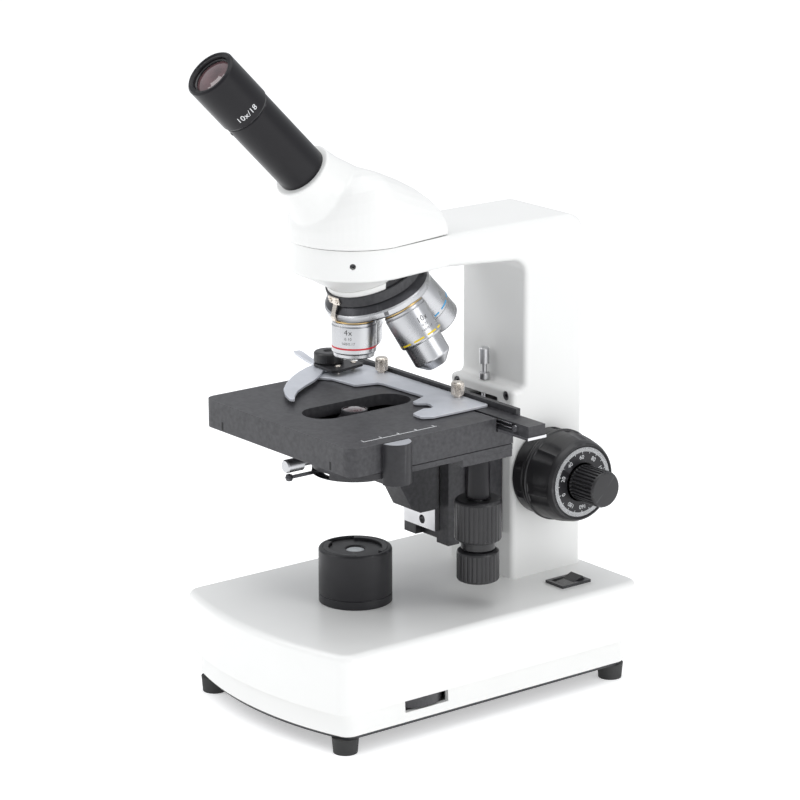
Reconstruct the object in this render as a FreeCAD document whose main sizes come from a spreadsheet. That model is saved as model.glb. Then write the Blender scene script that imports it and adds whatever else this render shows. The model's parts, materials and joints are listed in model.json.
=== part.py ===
import FreeCAD, Part

"""Compound microscope with a single inclined eyepiece tube, as a parametric document in millimetres.

The row frame has +Z up and the front of the stand towards -Y. Its origin is on the surface that the
feet stand on, under the middle of the whole object. Every sub-part is drawn about the optical axis,
which stands at (axis_x, axis_y) in that frame.
"""
import math
import os
import re

import Sketcher

DIMENSIONS = [
    # where the optical axis stands, and the stand's base
    ("axis_x", 2.5, "optical axis, from the middle of the whole object"),
    ("axis_y", -22.6, "optical axis, from the middle of the whole object"),
    ("base_half", 73.1, "half width of the cover at its lower edge"),
    ("base_back", 146.2, "back of the cover at its lower edge"),
    ("base_corner", -62.0, "where the cover's side meets the bowed front"),
    ("base_front", -74.0, "front of the bow, on the centre line"),
    ("base_draft", 3.0, "draft of the cover's sides, degrees"),
    ("seam_level", 24.8, "joint between tray and cover"),
    ("cover_level", 59.2, "top of the base"),
    ("tray_level", 10.8, "underside of the tray"),
    ("plate_level", 8.8, "underside of the bottom plate"),
    ("shell_wall", 3.5, "wall of the cover and tray"),
    ("tray_inset", 2.9, "how far the tray's foot stands inside the cover's edge"),
    ("tray_draft", 4.0, "draft of the tray's sides, degrees"),
    ("foot_radius", 7.5, "rubber foot at its top"),
    ("foot_x", 61.3, "feet either side of the centre line"),
    ("foot_front", -54.2, "front feet"),
    ("foot_back", 136.5, "back feet"),
    # lamp
    ("lamp_radius", 20.6, "lamp housing"),
    ("lamp_top", 90.4, "top of the lamp housing"),
    ("lamp_bore", 15.5, "bore of the lamp housing"),
    ("window_radius", 5.0, "light window in the lamp cap"),
    # switch and dimmer
    ("switch_x", 51.5, "rocker switch centre"),
    ("switch_y", 112.5, "rocker switch centre"),
    ("switch_width", 15.0, "rocker switch frame across"),
    ("switch_length", 21.0, "rocker switch frame along the base"),
    ("dimmer_y", -4.5, "dimmer wheel centre"),
    ("dimmer_radius", 19.0, "dimmer wheel"),
    ("dimmer_slot", 30.0, "dimmer window length"),
    ("dimmer_low", 16.6, "lower edge of the dimmer window"),
    # arm
    ("arm_half", 28.3, "half width of the arm"),
    ("arm_back", 141.9, "back of the column"),
    ("column_front", 98.8, "front of the upper column"),
    ("boss_front", 90.2, "front of the lower column"),
    ("boss_level", 170.2, "top of the lower column's step"),
    ("arm_level", 266.0, "top of the arm"),
    ("limb_level", 250.9, "underside of the limb at the nose"),
    ("limb_root", 245.0, "underside of the limb at the column"),
    ("nose_radius", 34.5, "round end of the arm"),
    ("nose_level", 248.4, "lower edge of the round end"),
    ("lock_level", 257.5, "set screw that holds the head"),
    ("seat_depth", 10.5, "seat of the head's mount ring, below the top of the arm"),
    ("boss_screw_x", 21.5, "screws in the front of the lower column"),
    ("boss_screw_z", 166.0, "screws in the front of the lower column"),
    # focus drive
    ("focus_y", 114.3, "focus axis"),
    ("focus_z", 120.3, "focus axis"),
    ("coarse_radius", 26.3, "coarse knob"),
    ("coarse_inner", 38.4, "coarse knob's inner face, from the centre plane"),
    ("coarse_outer", 60.0, "coarse knob's outer face"),
    ("dial_radius", 20.8, "graduated dial"),
    ("tension_radius", 25.0, "tension ring"),
    ("fine_radius", 10.7, "fine knob"),
    ("fine_outer", 80.5, "fine knob's outer face"),
    ("slide_half", 20.0, "half width of the focus slide"),
    ("slide_front", 50.5, "front of the focus slide"),
    ("slide_low", 85.0, "lower end of the focus slide"),
    # stage
    ("stage_half", 67.6, "half width of the stage plate"),
    ("stage_front", -54.1, "front of the stage plate"),
    ("stage_back", 45.3, "back of the stage plate"),
    ("stage_level", 170.8, "top of the stage plate"),
    ("stage_low", 155.0, "underside of the stage plate"),
    ("layer_low", 147.3, "underside of the fixed stage layer"),
    ("opening_half", 12.5, "half width of the stage opening"),
    ("opening_front", -33.0, "front end of the stage opening"),
    ("opening_back", 36.0, "back end of the stage opening"),
    ("column_x", 50.0, "stage drive column"),
    ("column_y", 47.3, "stage drive column"),
    ("column_radius", 6.6, "stage drive tube"),
    ("upper_knob_radius", 13.2, "upper stage knob"),
    ("lower_knob_radius", 11.9, "lower stage knob"),
    ("bar_left", -72.0, "left end of the carriage bar"),
    ("bar_right", 92.6, "right end of the carriage bar"),
    ("bar_front", 47.0, "front of the carriage bar"),
    ("bar_back", 58.8, "back of the carriage bar"),
    ("bar_low", 165.3, "underside of the carriage bar"),
    ("holder_level", 172.7, "top of the slide holder plate"),
    ("pivot_x", -68.6, "finger pivot"),
    ("pivot_y", 34.0, "finger pivot"),
    # condenser
    ("holder_radius", 24.0, "condenser holder ring"),
    ("condenser_radius", 18.0, "condenser barrel"),
    ("condenser_low", 139.9, "lower end of the condenser"),
    ("iris_level", 136.0, "iris lever"),
    ("holder_low", 134.4, "underside of the condenser holder"),
    # nosepiece: the turret's axis leans back from the vertical, and every objective's axis
    # meets it at the apex, so that the one at the front stands upright on the optical axis
    ("turret_tilt", 22.0, "lean of the turret's axis, degrees"),
    ("seat_reach", 53.3, "from the apex to an objective's shoulder, along the objective"),
    ("seat_level", 220.4, "shoulder of the objective in use"),
    ("turret_radius", 30.0, "turret"),
    ("collar_radius", 25.3, "collar of the arm that the nosepiece's base is fastened to"),
    ("collar_offset", -18.0, "lower face of that collar, along the turret's axis"),
    ("relief_y", 3.5, "front of the relief behind the collar"),
    ("relief_level", 247.5, "top of that relief"),
    ("objective_radius", 12.35, "objective barrel"),
    # head and eyepiece
    ("head_radius", 36.2, "round front of the head"),
    ("head_back", 45.5, "back of the head"),
    ("head_back_half", 27.6, "half width of the head's back"),
    ("tube_lean", 45.0, "lean of the eyepiece tube, degrees"),
    ("tube_origin", 273.1, "where the tube's axis meets the optical axis"),
    ("tube_start", 48.9, "collar's upper end, along the tube from the optical axis"),
    ("tube_end", 100.3, "step between tube and eyepiece"),
    ("eyepiece_end", 132.3, "upper end of the eyepiece"),
    ("tube_radius", 13.75, "eyepiece tube"),
    ("eyepiece_radius", 14.35, "eyepiece"),
    # clearances
    ("gap", 0.35, "between pieces that move past each other"),
    ("running", 0.05, "radial clearance of a shaft in its bush"),
]

V = FreeCAD.Vector
doc = FreeCAD.newDocument("microscope")
sheet = doc.addObject("Spreadsheet::Sheet", "Dims")


class Size:
    """A number together with the sheet formula that gives it, so that arithmetic keeps both."""

    def __init__(self, number, formula):
        self.number = number
        self.formula = formula

    def __add__(self, other):
        other = size(other)
        return Size(self.number + other.number, f"({self.formula} + {other.formula})")

    def __sub__(self, other):
        other = size(other)
        return Size(self.number - other.number, f"({self.formula} - {other.formula})")

    def __mul__(self, other):
        other = size(other)
        return Size(self.number * other.number, f"({self.formula} * {other.formula})")

    def __truediv__(self, other):
        other = size(other)
        return Size(self.number / other.number, f"({self.formula} / {other.formula})")

    def __neg__(self):
        return Size(-self.number, f"(0 - {self.formula})")

    def __radd__(self, other):
        return size(other) + self

    def __rsub__(self, other):
        return size(other) - self

    def __rmul__(self, other):
        return size(other) * self


def size(value):
    """A Size as it is, or a plain number as a Size."""
    if isinstance(value, Size):
        return value
    return Size(float(value), f"({float(value):.9g})")


def fill_sheet():
    """Write the driving dimensions and return them as Sizes by name."""
    named = {}
    for row, (name, number, meaning) in enumerate(DIMENSIONS, start=1):
        alias = name if "_" in name else name + "_"
        sheet.set(f"A{row}", meaning)
        sheet.set(f"B{row}", str(number))
        sheet.setAlias(f"B{row}", alias)
        named[name] = Size(number, f"Dims.{alias}")
    doc.recompute()
    return named


D = fill_sheet()
AXIS_X, AXIS_Y = D["axis_x"], D["axis_y"]
GAP, RUNNING = D["gap"], D["running"]
SUBPARTS = []


# ---------------------------------------------------------------- helpers

def bind(item, property_name, value):
    """Give a property its number and bind it to the formula."""
    item.setExpression(property_name, size(value).formula)


def put(item, x, y, z, rotation=None):
    """Place an item at a point given from the optical axis."""
    x, y, z = AXIS_X + x, AXIS_Y + y, size(z)
    item.Placement = FreeCAD.Placement(V(x.number, y.number, z.number), rotation or FreeCAD.Rotation())
    bind(item, "Placement.Base.x", x)
    bind(item, "Placement.Base.y", y)
    bind(item, "Placement.Base.z", z)
    return item


def towards(x, y, z):
    """The rotation that turns +Z into the given direction."""
    return FreeCAD.Rotation(V(0, 0, 1), V(x, y, z))


ALONG_X = towards(1, 0, 0)
ALONG_MINUS_X = towards(-1, 0, 0)
ALONG_Y = towards(0, 1, 0)
ALONG_MINUS_Y = towards(0, -1, 0)


def box(name, x, y, z):
    """A box from three (low, high) pairs."""
    item = doc.addObject("Part::Box", name)
    bind(item, "Length", size(x[1]) - x[0])
    bind(item, "Width", size(y[1]) - y[0])
    bind(item, "Height", size(z[1]) - z[0])
    return put(item, x[0], y[0], z[0])


def cylinder(name, radius, height, x, y, z, rotation=None):
    """A cylinder that starts at a point and runs along the rotated Z."""
    item = doc.addObject("Part::Cylinder", name)
    bind(item, "Radius", radius)
    bind(item, "Height", height)
    return put(item, x, y, z, rotation)


def cone(name, radius_low, radius_high, height, x, y, z, rotation=None):
    """A cone frustum that starts at a point and runs along the rotated Z."""
    item = doc.addObject("Part::Cone", name)
    bind(item, "Radius1", radius_low)
    bind(item, "Radius2", radius_high)
    bind(item, "Height", height)
    return put(item, x, y, z, rotation)


def cut(name, base, *tools):
    """The base with every tool taken out of it."""
    item = doc.addObject("Part::Cut", name)
    item.Base = base
    item.Tool = tools[0] if len(tools) == 1 else fuse(name + "_tools", *tools)
    return item


def fuse(name, *pieces):
    """The pieces as one."""
    item = doc.addObject("Part::MultiFuse", name)
    item.Shapes = list(pieces)
    return item


def common(name, *pieces):
    """What the pieces share."""
    item = doc.addObject("Part::MultiCommon", name)
    item.Shapes = list(pieces)
    return item


def group(name, *pieces):
    """Separate solids kept together as one sub-part."""
    item = doc.addObject("Part::Compound", name)
    item.Links = list(pieces)
    return item


def round_edges(name, base, radius, wanted):
    """Fillet the base's edges that the test picks out."""
    doc.recompute()
    item = doc.addObject("Part::Fillet", name)
    item.Base = base
    picked = [i for i, edge in enumerate(base.Shape.Edges, start=1) if wanted(edge)]
    item.Edges = [(i, radius, radius) for i in picked]
    return item


def publish(item, label):
    """Name a finished sub-part."""
    item.Label = label
    SUBPARTS.append(item)
    return item


def origin_plane(body, role):
    """One of a body's own origin planes."""
    return [item for item in body.Origin.OriginFeatures if item.Role == role][0]


def new_body(name):
    """A body that stands on the optical axis."""
    return put(doc.addObject("PartDesign::Body", name), 0, 0, 0)


def outline(body, name, role, corners, level=0, bulge=None):
    """A closed sketch through the corners on an origin plane.

    bulge gives the middle point of an arc that replaces the side after corner 0.
    """
    sketch = body.newObject("Sketcher::SketchObject", name)
    sketch.AttachmentSupport = [(origin_plane(body, role), "")]
    sketch.MapMode = "FlatFace"
    bind(sketch, "AttachmentOffset.Base.z", level)
    spots = [(size(across), size(up)) for across, up in corners]
    count = len(spots)
    for number in range(count):
        start = V(spots[number][0].number, spots[number][1].number, 0)
        after = spots[(number + 1) % count]
        end = V(after[0].number, after[1].number, 0)
        if bulge is not None and number == 0:
            middle = V(size(bulge[0]).number, size(bulge[1]).number, 0)
            sketch.addGeometry(Part.Arc(start, middle, end), False)
        else:
            sketch.addGeometry(Part.LineSegment(start, end), False)
    ends = [(1, 2)] * count
    if bulge is not None:
        arc = sketch.Geometry[0]
        starts_first = (arc.StartPoint - V(spots[0][0].number, spots[0][1].number, 0)).Length < 1e-6
        ends[0] = (1, 2) if starts_first else (2, 1)
    for number in range(count):
        follower = (number + 1) % count
        sketch.addConstraint(Sketcher.Constraint("Coincident", number, ends[number][1],
                                                 follower, ends[follower][0]))
    for number, (across, up) in enumerate(spots):
        pin_point(sketch, number, ends[number][0], across, up)
    if bulge is not None:
        half, chord, crown = spots[1][0], spots[1][1], size(bulge[1])
        rise = chord - crown
        pin_height(sketch, 0, 3, crown + (half * half + rise * rise) / (rise * 2))
    return sketch


def pin_distance(sketch, kind, number, end, value, axis):
    """Hold one point of a sketch at a bound distance from the origin, or on the axis."""
    if abs(value.number) < 1e-9:
        sketch.addConstraint(Sketcher.Constraint("PointOnObject", number, end, axis))
    else:
        index = sketch.addConstraint(Sketcher.Constraint(kind, -1, 1, number, end, value.number))
        sketch.setExpression(f"Constraints[{index}]", value.formula)


def pin_height(sketch, number, end, up):
    """Hold one point's height."""
    pin_distance(sketch, "DistanceY", number, end, up, -1)


def pin_point(sketch, number, end, across, up):
    """Hold one point at its place."""
    pin_distance(sketch, "DistanceX", number, end, across, -2)
    pin_height(sketch, number, end, up)


def pad(body, name, sketch, length, taper=0, both_ways=False):
    """Pad a sketch in its own direction."""
    feature = body.newObject("PartDesign::Pad", name)
    feature.Profile = sketch
    bind(feature, "Length", length)
    feature.Midplane = both_ways
    if size(taper).number:
        bind(feature, "TaperAngle", taper)
    return feature


def pocket(body, name, sketch, length):
    """Pocket a sketch towards the solid above it."""
    doc.recompute()
    before = body.Shape.Volume
    feature = body.newObject("PartDesign::Pocket", name)
    feature.Profile = sketch
    bind(feature, "Length", length)
    feature.Reversed = True
    doc.recompute()
    if body.Shape.Volume > before - 1:
        raise ValueError(f"{name} cuts nothing")
    return feature


def dress(body, name, kind, base, radius, wanted):
    """Fillet or chamfer the edges of a body's feature that the test picks out."""
    doc.recompute()
    feature = body.newObject(f"PartDesign::{kind}", name)
    picked = [f"Edge{i}" for i, edge in enumerate(base.Shape.Edges, start=1) if wanted(edge)]
    feature.Base = (base, picked)
    bind(feature, "Radius" if kind == "Fillet" else "Size", radius)
    return feature


def turned(name, profile, x, y, z, rotation=None):
    """A lathe-turned piece: (radius, height) corners revolved about its own Z, then placed."""
    body = doc.addObject("PartDesign::Body", name)
    sketch = outline(body, name + "_profile", "XZ_Plane", profile)
    feature = body.newObject("PartDesign::Revolution", name + "_turning")
    feature.Profile = sketch
    feature.ReferenceAxis = (sketch, ["V_Axis"])
    feature.Angle = 360
    return put(body, x, y, z, rotation)


def upright(edge):
    """True for a straight edge parallel to Z, or nearly so."""
    if len(edge.Vertexes) != 2:
        return False
    way = edge.Vertexes[1].Point - edge.Vertexes[0].Point
    return way.Length > 1 and abs(way.z) > 0.97 * way.Length


def at_level(level):
    """A test for edges that lie at one height of the body's own frame."""
    def test(edge):
        return all(abs(vertex.Point.z - level) < 0.05 for vertex in edge.Vertexes)
    return test


# ---------------------------------------------------------------- stand

def base_outline(body, name, inset, level):
    """The base's plan, bowed at the front, drawn inside the cover's edge by the inset."""
    half = D["base_half"] - inset
    corner = D["base_corner"] + inset
    back = D["base_back"] - inset
    corners = [(-half, corner), (half, corner), (half, back), (-half, back)]
    return outline(body, name, "XY_Plane", corners, level, (0, D["base_front"] + inset))


DOOR_SCREW = (-22, -52)


def make_base():
    """Cover, tray, bottom plate and feet."""
    body = new_body("cover_body")
    shell = pad(body, "cover_block", base_outline(body, "cover_plan", 0, D["seam_level"]),
                D["cover_level"] - D["seam_level"], D["base_draft"])
    corners = dress(body, "cover_corners", "Fillet", shell, 9.0, upright)
    dress(body, "cover_rim", "Fillet", corners, 3.5, at_level(D["cover_level"].number))
    pocket(body, "cover_hollow", base_outline(body, "cover_inside", 6.0, D["seam_level"]),
           D["cover_level"] - D["seam_level"] - D["shell_wall"])
    lamp_hole = cylinder("lamp_hole", 13.0, 10, 0, 0, D["cover_level"] - 6)
    half_width = D["switch_width"] * 0.5 - 1.0
    half_length = D["switch_length"] * 0.5 - 1.0
    switch_hole = box("switch_hole", (D["switch_x"] - half_width, D["switch_x"] + half_width),
                      (D["switch_y"] - half_length, D["switch_y"] + half_length),
                      (D["cover_level"] - 6, D["cover_level"] + 2))
    cable_hole = box("cable_hole", (-15, 15), (106, 128), (D["cover_level"] - 6, D["cover_level"] + 2))
    inlet_hole = box("inlet_hole", (-38, -10), (D["base_back"] - 10, D["base_back"] + 4), (31.0, 51.0))
    inlet_seat = box("inlet_seat", (-40.2, -7.8), (D["base_back"] - 1.5, D["base_back"] + 4), (29.8, 52.2))
    publish(cut("cover_cut", body, lamp_hole, switch_hole, cable_hole, inlet_hole, inlet_seat), "base_cover")

    body = new_body("tray_body")
    height = D["seam_level"] - D["tray_level"]
    inset = D["tray_inset"]
    shell = pad(body, "tray_block", base_outline(body, "tray_plan", inset, D["tray_level"]),
                height, -D["tray_draft"])
    corners = dress(body, "tray_corners", "Fillet", shell, 8.0, upright)
    dress(body, "tray_rim", "Fillet", corners, 1.5, at_level(D["tray_level"].number))
    hollow = cut_tray_hollow(inset)
    window = dimmer_window()
    door = box("lamp_door_hole", (-24, 24), (-30, 30), (D["tray_level"] - 1, D["tray_level"] + 4))
    screw_way = cylinder("tray_screw_hole", 2.6, 8, DOOR_SCREW[0], DOOR_SCREW[1], D["tray_level"] - 2)
    publish(cut("tray_cut", body, hollow, window, door, screw_way), "base_tray")

    body = new_body("bottom_body")
    plate = pad(body, "bottom_block",
                base_outline(body, "bottom_plan", inset + 2.5, D["plate_level"]),
                D["tray_level"] - D["plate_level"])
    dress(body, "bottom_corners", "Fillet", plate, 6.0, upright)
    screw_hole = cylinder("door_screw_hole", 2.6, 6, DOOR_SCREW[0], DOOR_SCREW[1], D["plate_level"] - 2)
    publish(cut("bottom_cut", body, screw_hole), "bottom_plate")

    feet = []
    for side in (-1, 1):
        for row in ("foot_front", "foot_back"):
            name = f"foot_{side + 1}_{row}"
            profile = [(2.5, 0.0), (D["foot_radius"] - 0.8, 0.0), (D["foot_radius"], D["plate_level"]),
                       (2.5, D["plate_level"])]
            feet.append(turned(name, profile, D["foot_x"] * side, D[row], 0))
    publish(group("feet", *feet), "rubber_feet")


def cut_tray_hollow(inset):
    """The inside of the tray, as a tool."""
    body = new_body("tray_hollow")
    sketch = base_outline(body, "tray_inside", inset + D["shell_wall"], D["tray_level"] + 2.2)
    pad(body, "tray_space", sketch, D["seam_level"] - D["tray_level"])
    return body


def dimmer_window():
    """The slot in the tray's right side that the dimmer wheel looks out of."""
    half = D["dimmer_slot"] * 0.5
    return box("dimmer_window", (D["base_half"] - 12, D["base_half"] + 3),
               (D["dimmer_y"] - half, D["dimmer_y"] + half), (D["dimmer_low"], D["seam_level"] + 2))


def make_lamp():
    """Lamp housing on the optical axis, with its cap, window, bulb and socket."""
    low = D["cover_level"]
    tall = D["lamp_top"] - low
    radius = D["lamp_radius"]
    profile = [(D["lamp_bore"], 0), (radius, 0), (radius, 4.6), (radius - 0.5, 4.8),
               (radius - 0.5, 5.3), (radius, 5.5), (radius, tall - 0.8), (radius - 0.8, tall),
               (radius - 2.6, tall), (radius - 2.6, tall - 2.6), (D["lamp_bore"], tall - 2.6)]
    publish(turned("lamp_tube", profile, 0, 0, low), "lamp_housing")
    cap_low = tall - 8.0
    profile = [(D["window_radius"], cap_low), (D["lamp_bore"], cap_low), (D["lamp_bore"], tall - 2.6),
               (radius - 2.6, tall - 2.6), (radius - 2.6, tall - 1.4), (D["window_radius"], tall - 1.4)]
    ring = turned("cap_ring", profile, 0, 0, low)
    rims = []
    for side in (-1, 1):
        arc = turned(f"bayonet_{side + 1}", [(13.2, tall - 1.4), (16.6, tall - 1.4), (16.6, tall + 0.2),
                                             (13.2, tall + 0.2)], 0, 0, low)
        half = box(f"bayonet_half_{side + 1}", (-20, 20) if side else (0, 1),
                   (3.5, 20) if side > 0 else (-20, -3.5), (low, low + tall + 5))
        rims.append(common(f"bayonet_rim_{side + 1}", arc, half))
    publish(fuse("cap", ring, *rims), "lamp_cap")
    profile = [(0, tall - 5.2), (D["window_radius"], tall - 5.2), (D["window_radius"], tall - 2.2),
               (0, tall - 2.0)]
    publish(turned("window", profile, 0, 0, low), "field_lens")
    bulb = [(0, 38), (3, 38), (5.2, 42), (5.4, 52), (4, 57), (0, 59)]
    publish(turned("bulb", bulb, 0, 0, 14), "lamp_bulb")
    socket = cylinder("socket_body", 9, 19, 0, 0, 32.8)
    stem = box("socket_stem", (-6, 6), (-4, 4), (13.0, 33.0))
    well = cylinder("socket_well", 3.0, 20, 0, 0, 51.9)
    publish(cut("socket_cut", fuse("socket_solid", socket, stem), well), "lamp_socket")


def make_electrics():
    """Transformer, circuit board, rocker switch, dimmer wheel and mains inlet."""
    floor = D["tray_level"] + 2.2
    core = box("transformer_core", (-32, 4), (48, 92), (floor, floor + 24))
    coil = box("transformer_coil", (-25, -3), (44, 96), (floor + 4, floor + 20))
    publish(fuse("transformer_solid", core, coil), "transformer")
    board = box("board_plate", (16, 62), (28, 78), (floor + 5, floor + 6.6))
    posts = [cylinder(f"board_post_{i}", 2.5, 5.2, 20 + 38 * (i % 2), 32 + 42 * (i // 2), floor)
             for i in range(4)]
    publish(fuse("board_solid", board, *posts), "circuit_board")

    x, y, top = D["switch_x"], D["switch_y"], D["cover_level"]
    half_width, half_length = D["switch_width"] * 0.5, D["switch_length"] * 0.5
    flange = box("switch_flange", (x - half_width, x + half_width), (y - half_length, y + half_length),
                 (top, top + 1.6))
    case = box("switch_case", (x - half_width + 1.2, x + half_width - 1.2),
               (y - half_length + 1.2, y + half_length - 1.2), (top - 16, top + 0.5))
    well = box("switch_well", (x - half_width + 2.2, x + half_width - 2.2),
               (y - half_length + 2.2, y + half_length - 2.2), (top - 13, top + 3))
    publish(cut("switch_cut", fuse("switch_solid", flange, case), well), "rocker_frame")
    publish(rocker(x, y, top), "rocker_button")

    wheel_x = D["base_half"] - D["dimmer_radius"] - 2.4
    wheel = cylinder("wheel_disc", D["dimmer_radius"], 6.4, wheel_x, D["dimmer_y"], D["dimmer_low"] + 1)
    hub = cylinder("wheel_hub", 4, 3.0, wheel_x, D["dimmer_y"], D["dimmer_low"] - 2.0)
    publish(fuse("wheel_solid", wheel, hub), "dimmer_wheel")
    pot = cylinder("pot_body", 9, 8, wheel_x, D["dimmer_y"], D["dimmer_low"] + 7.9)
    bracket = box("pot_bracket", (wheel_x - 24, wheel_x + 4), (D["dimmer_y"] - 5, D["dimmer_y"] + 5),
                  (D["dimmer_low"] + 15.8, D["dimmer_low"] + 17.4))
    leg = box("pot_leg", (wheel_x - 24, wheel_x - 22), (D["dimmer_y"] - 5, D["dimmer_y"] + 5),
              (D["tray_level"] + 2.2, D["dimmer_low"] + 17.4))
    publish(fuse("pot_solid", pot, bracket, leg), "dimmer_potentiometer")

    back = D["base_back"]
    flange = box("inlet_flange", (-40, -8), (back - 1.4, back + 1.0), (30.0, 52.0))
    case = box("inlet_case", (-37.5, -10.5), (back - 22, back - 1.0), (31.5, 50.5))
    well = box("inlet_well", (-35.5, -12.5), (back - 16, back + 2), (33.5, 48.5))
    pins = [box(f"inlet_pin_{i}", (-31.2 + 7 * i, -29.0 + 7 * i), (back - 17, back - 9),
                (38.5 + 2.5 * (i % 2), 42.5 + 2.5 * (i % 2))) for i in range(3)]
    publish(fuse("inlet_solid", cut("inlet_cut", fuse("inlet_shell", flange, case), well), *pins),
            "power_inlet")


def rocker(x, y, top):
    """The rocker: two faces that meet in a shallow vee, front half pressed down."""
    body = put(doc.addObject("PartDesign::Body", "rocker_body"), x, y, top)
    profile = [(-7.8, -2.4), (0, -3.4), (7.6, -2.4), (7.95, 0.0), (7.4, 2.0), (6.4, 3.8), (0, 1.1),
               (-7.82, 0.7)]
    width = D["switch_width"] - 4.4 - GAP * 2
    pad(body, "rocker_block", outline(body, "rocker_side", "YZ_Plane", profile), width, 0, True)
    return body


# ---------------------------------------------------------------- arm

def make_arm():
    """The arm casting: column, limb, round nose and the cone that carries the nosepiece."""
    body = new_body("arm_profile_body")
    floor = D["cover_level"]
    profile = [(0, D["limb_level"]), (0, D["arm_level"]), (D["arm_back"], D["arm_level"]),
               (D["arm_back"], floor), (D["boss_front"], floor), (D["boss_front"], D["boss_level"]),
               (D["column_front"], D["boss_level"]), (D["column_front"], D["limb_root"] - 0.6),
               (D["column_front"] - 12, D["limb_root"])]
    sketch = outline(body, "arm_side", "YZ_Plane", profile)
    block = pad(body, "arm_block", sketch, D["arm_half"] * 2, 0, True)
    back_top = V(0, D["arm_back"].number, D["arm_level"].number)
    rounded = dress(body, "arm_back_corner", "Fillet", block, 11.0,
                    lambda edge: across_at(edge, back_top))
    root = V(0, D["column_front"].number, D["limb_root"].number - 0.6)
    rounded = dress(body, "arm_inner_corner", "Fillet", rounded, 9.0,
                    lambda edge: across_at(edge, root))
    dress(body, "arm_edges", "Fillet", rounded, 3.0, lambda edge: long_side_edge(edge, floor.number))

    nose_body = new_body("nose_body")
    half, radius = D["arm_half"], D["nose_radius"]
    nose_plan = [(-radius, 2), (radius, 2), (half, 44), (-half, 44)]
    nose = pad(nose_body, "nose_block",
               outline(nose_body, "nose_plan", "XY_Plane", nose_plan, D["nose_level"], (0, -radius)),
               D["arm_level"] - D["nose_level"])
    dress(nose_body, "nose_edge", "Fillet", nose, 1.5, at_level(D["nose_level"].number))
    solid = cut("arm_trimmed", fuse("arm_fused", body, nose_body, *nosepiece_seat()), *turret_space())

    bore = cylinder("nose_bore", 9.5, 60, 0, 0, 210)
    seat = cylinder("head_seat", 19.0 + RUNNING, 20, 0, 0, D["arm_level"] - D["seat_depth"])
    lock_spot = LOCK_WAY * 19.2
    lock_hole = cylinder("head_lock_hole", 1.7, 30, lock_spot.x, lock_spot.y, D["lock_level"], lock_turn())
    space = box("column_space", (-22, 22), (102.5, 136), (floor - 1, 236))
    slot = box("slide_slot", (-14.5, 14.5), (D["boss_front"] - 1, 103), (66, 164))
    limb_space = box("limb_space", (-18, 18), (44, 120), (253, 261))
    bush_hole = cylinder("bush_hole", 8.0, 80, -40, D["focus_y"], D["focus_z"], ALONG_X)
    stop_hole = cylinder("stop_hole", 1.6, 30, -2.2, 94.4, 150)
    screw_holes, heads = boss_screws()
    publish(cut("arm_cut", solid, bore, seat, lock_hole, space, slot, limb_space, bush_hole, stop_hole,
                *screw_holes), "arm_casting")

    level = D["boss_level"]
    profile = [(0, -14), (1.5, -14), (1.5, 0.6), (3.1, 0.6), (3.1, 4.0), (2.6, 4.4), (1.5, 4.4), (1.5, 9.5),
               (2.9, 9.5), (2.9, 18.2), (2.4, 18.8), (0, 18.8)]
    publish(turned("stopper", profile, -2.2, 94.4, level), "stop_screw")
    lock_spot = LOCK_WAY * 19.4
    lock = turned("lock_screw", [(0, 0), (1.65, 0), (1.65, 10), (0, 10)], lock_spot.x, lock_spot.y,
                  D["lock_level"], lock_turn())
    profile = [(0, 0), (4.2, 0), (4.2, 4.0), (2.4, 4.4), (2.4, 9.5), (0, 9.5)]
    door = turned("door_screw", profile, DOOR_SCREW[0], DOOR_SCREW[1], 3.9)
    publish(group("screw_set", lock, door, *heads), "stand_screws")


LOCK_WAY = V(0.787, -0.617, 0)


def lock_turn():
    """Turns +Z into the set screw's direction, outwards."""
    return FreeCAD.Rotation(V(0, 0, 1), LOCK_WAY)


def boss_screws():
    """Counterbored holes in the column's front face, as tools, and the socket screws in them."""
    face = D["boss_front"]
    holes, screws = [], []
    for side in (-1, 1):
        x, z = D["boss_screw_x"] * side, D["boss_screw_z"]
        shank = cylinder(f"boss_hole_{side + 1}", 1.5, 9, x, face, z, ALONG_Y)
        head = cylinder(f"boss_sink_{side + 1}", 2.8, 4.3, x, face - 1, z, ALONG_Y)
        holes += [shank, head]
        profile = [(0, 2.6), (1.2, 2.6), (1.2, 0.6), (2.5, 0.6), (2.5, 3.3), (1.45, 3.3), (1.45, 9), (0, 9)]
        screws.append(turned(f"boss_screw_{side + 1}", profile, x, face, z, ALONG_Y))
    return holes, screws


def turret_circle(name, radius, offset):
    """A circle round the turret's axis."""
    item = doc.addObject("Part::Circle", name)
    bind(item, "Radius", radius)
    spot = turret_centre(offset)
    return put(item, spot.x, spot.y, spot.z, turret_rotation())


def nosepiece_seat():
    """The skirt that narrows from the round nose to the tilted collar, and the collar."""
    radius, offset = D["collar_radius"], D["collar_offset"]
    nose_ring = doc.addObject("Part::Circle", "skirt_top")
    bind(nose_ring, "Radius", D["nose_radius"] - 0.8)
    put(nose_ring, 0, 0, D["nose_level"] + 0.5, FreeCAD.Rotation(V(1, 0, 0), 180))
    skirt = doc.addObject("Part::Loft", "nose_skirt")
    skirt.Sections = [nose_ring, turret_circle("skirt_foot", radius - 0.9, offset - 2.6)]
    skirt.Solid = True
    skirt.Ruled = True
    collar = turret_cylinder("nose_collar", radius, 3.0, offset - 3.0)
    relief = box("collar_relief", (-45, 45), (D["relief_y"], 80), (220, D["relief_level"]))
    return [cut("nose_skirt_cut", fuse("nose_skirt_solid", skirt, collar), relief)]


def turret_space():
    """Room for the nosepiece's base and for the wider turret under it, as tools."""
    offset = D["collar_offset"]
    return [turret_cylinder("base_space", D["collar_radius"] + 2.2, 40, offset),
            turret_cylinder("turret_room", D["turret_radius"] + 1.4, 40, offset + 5.2)]


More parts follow.
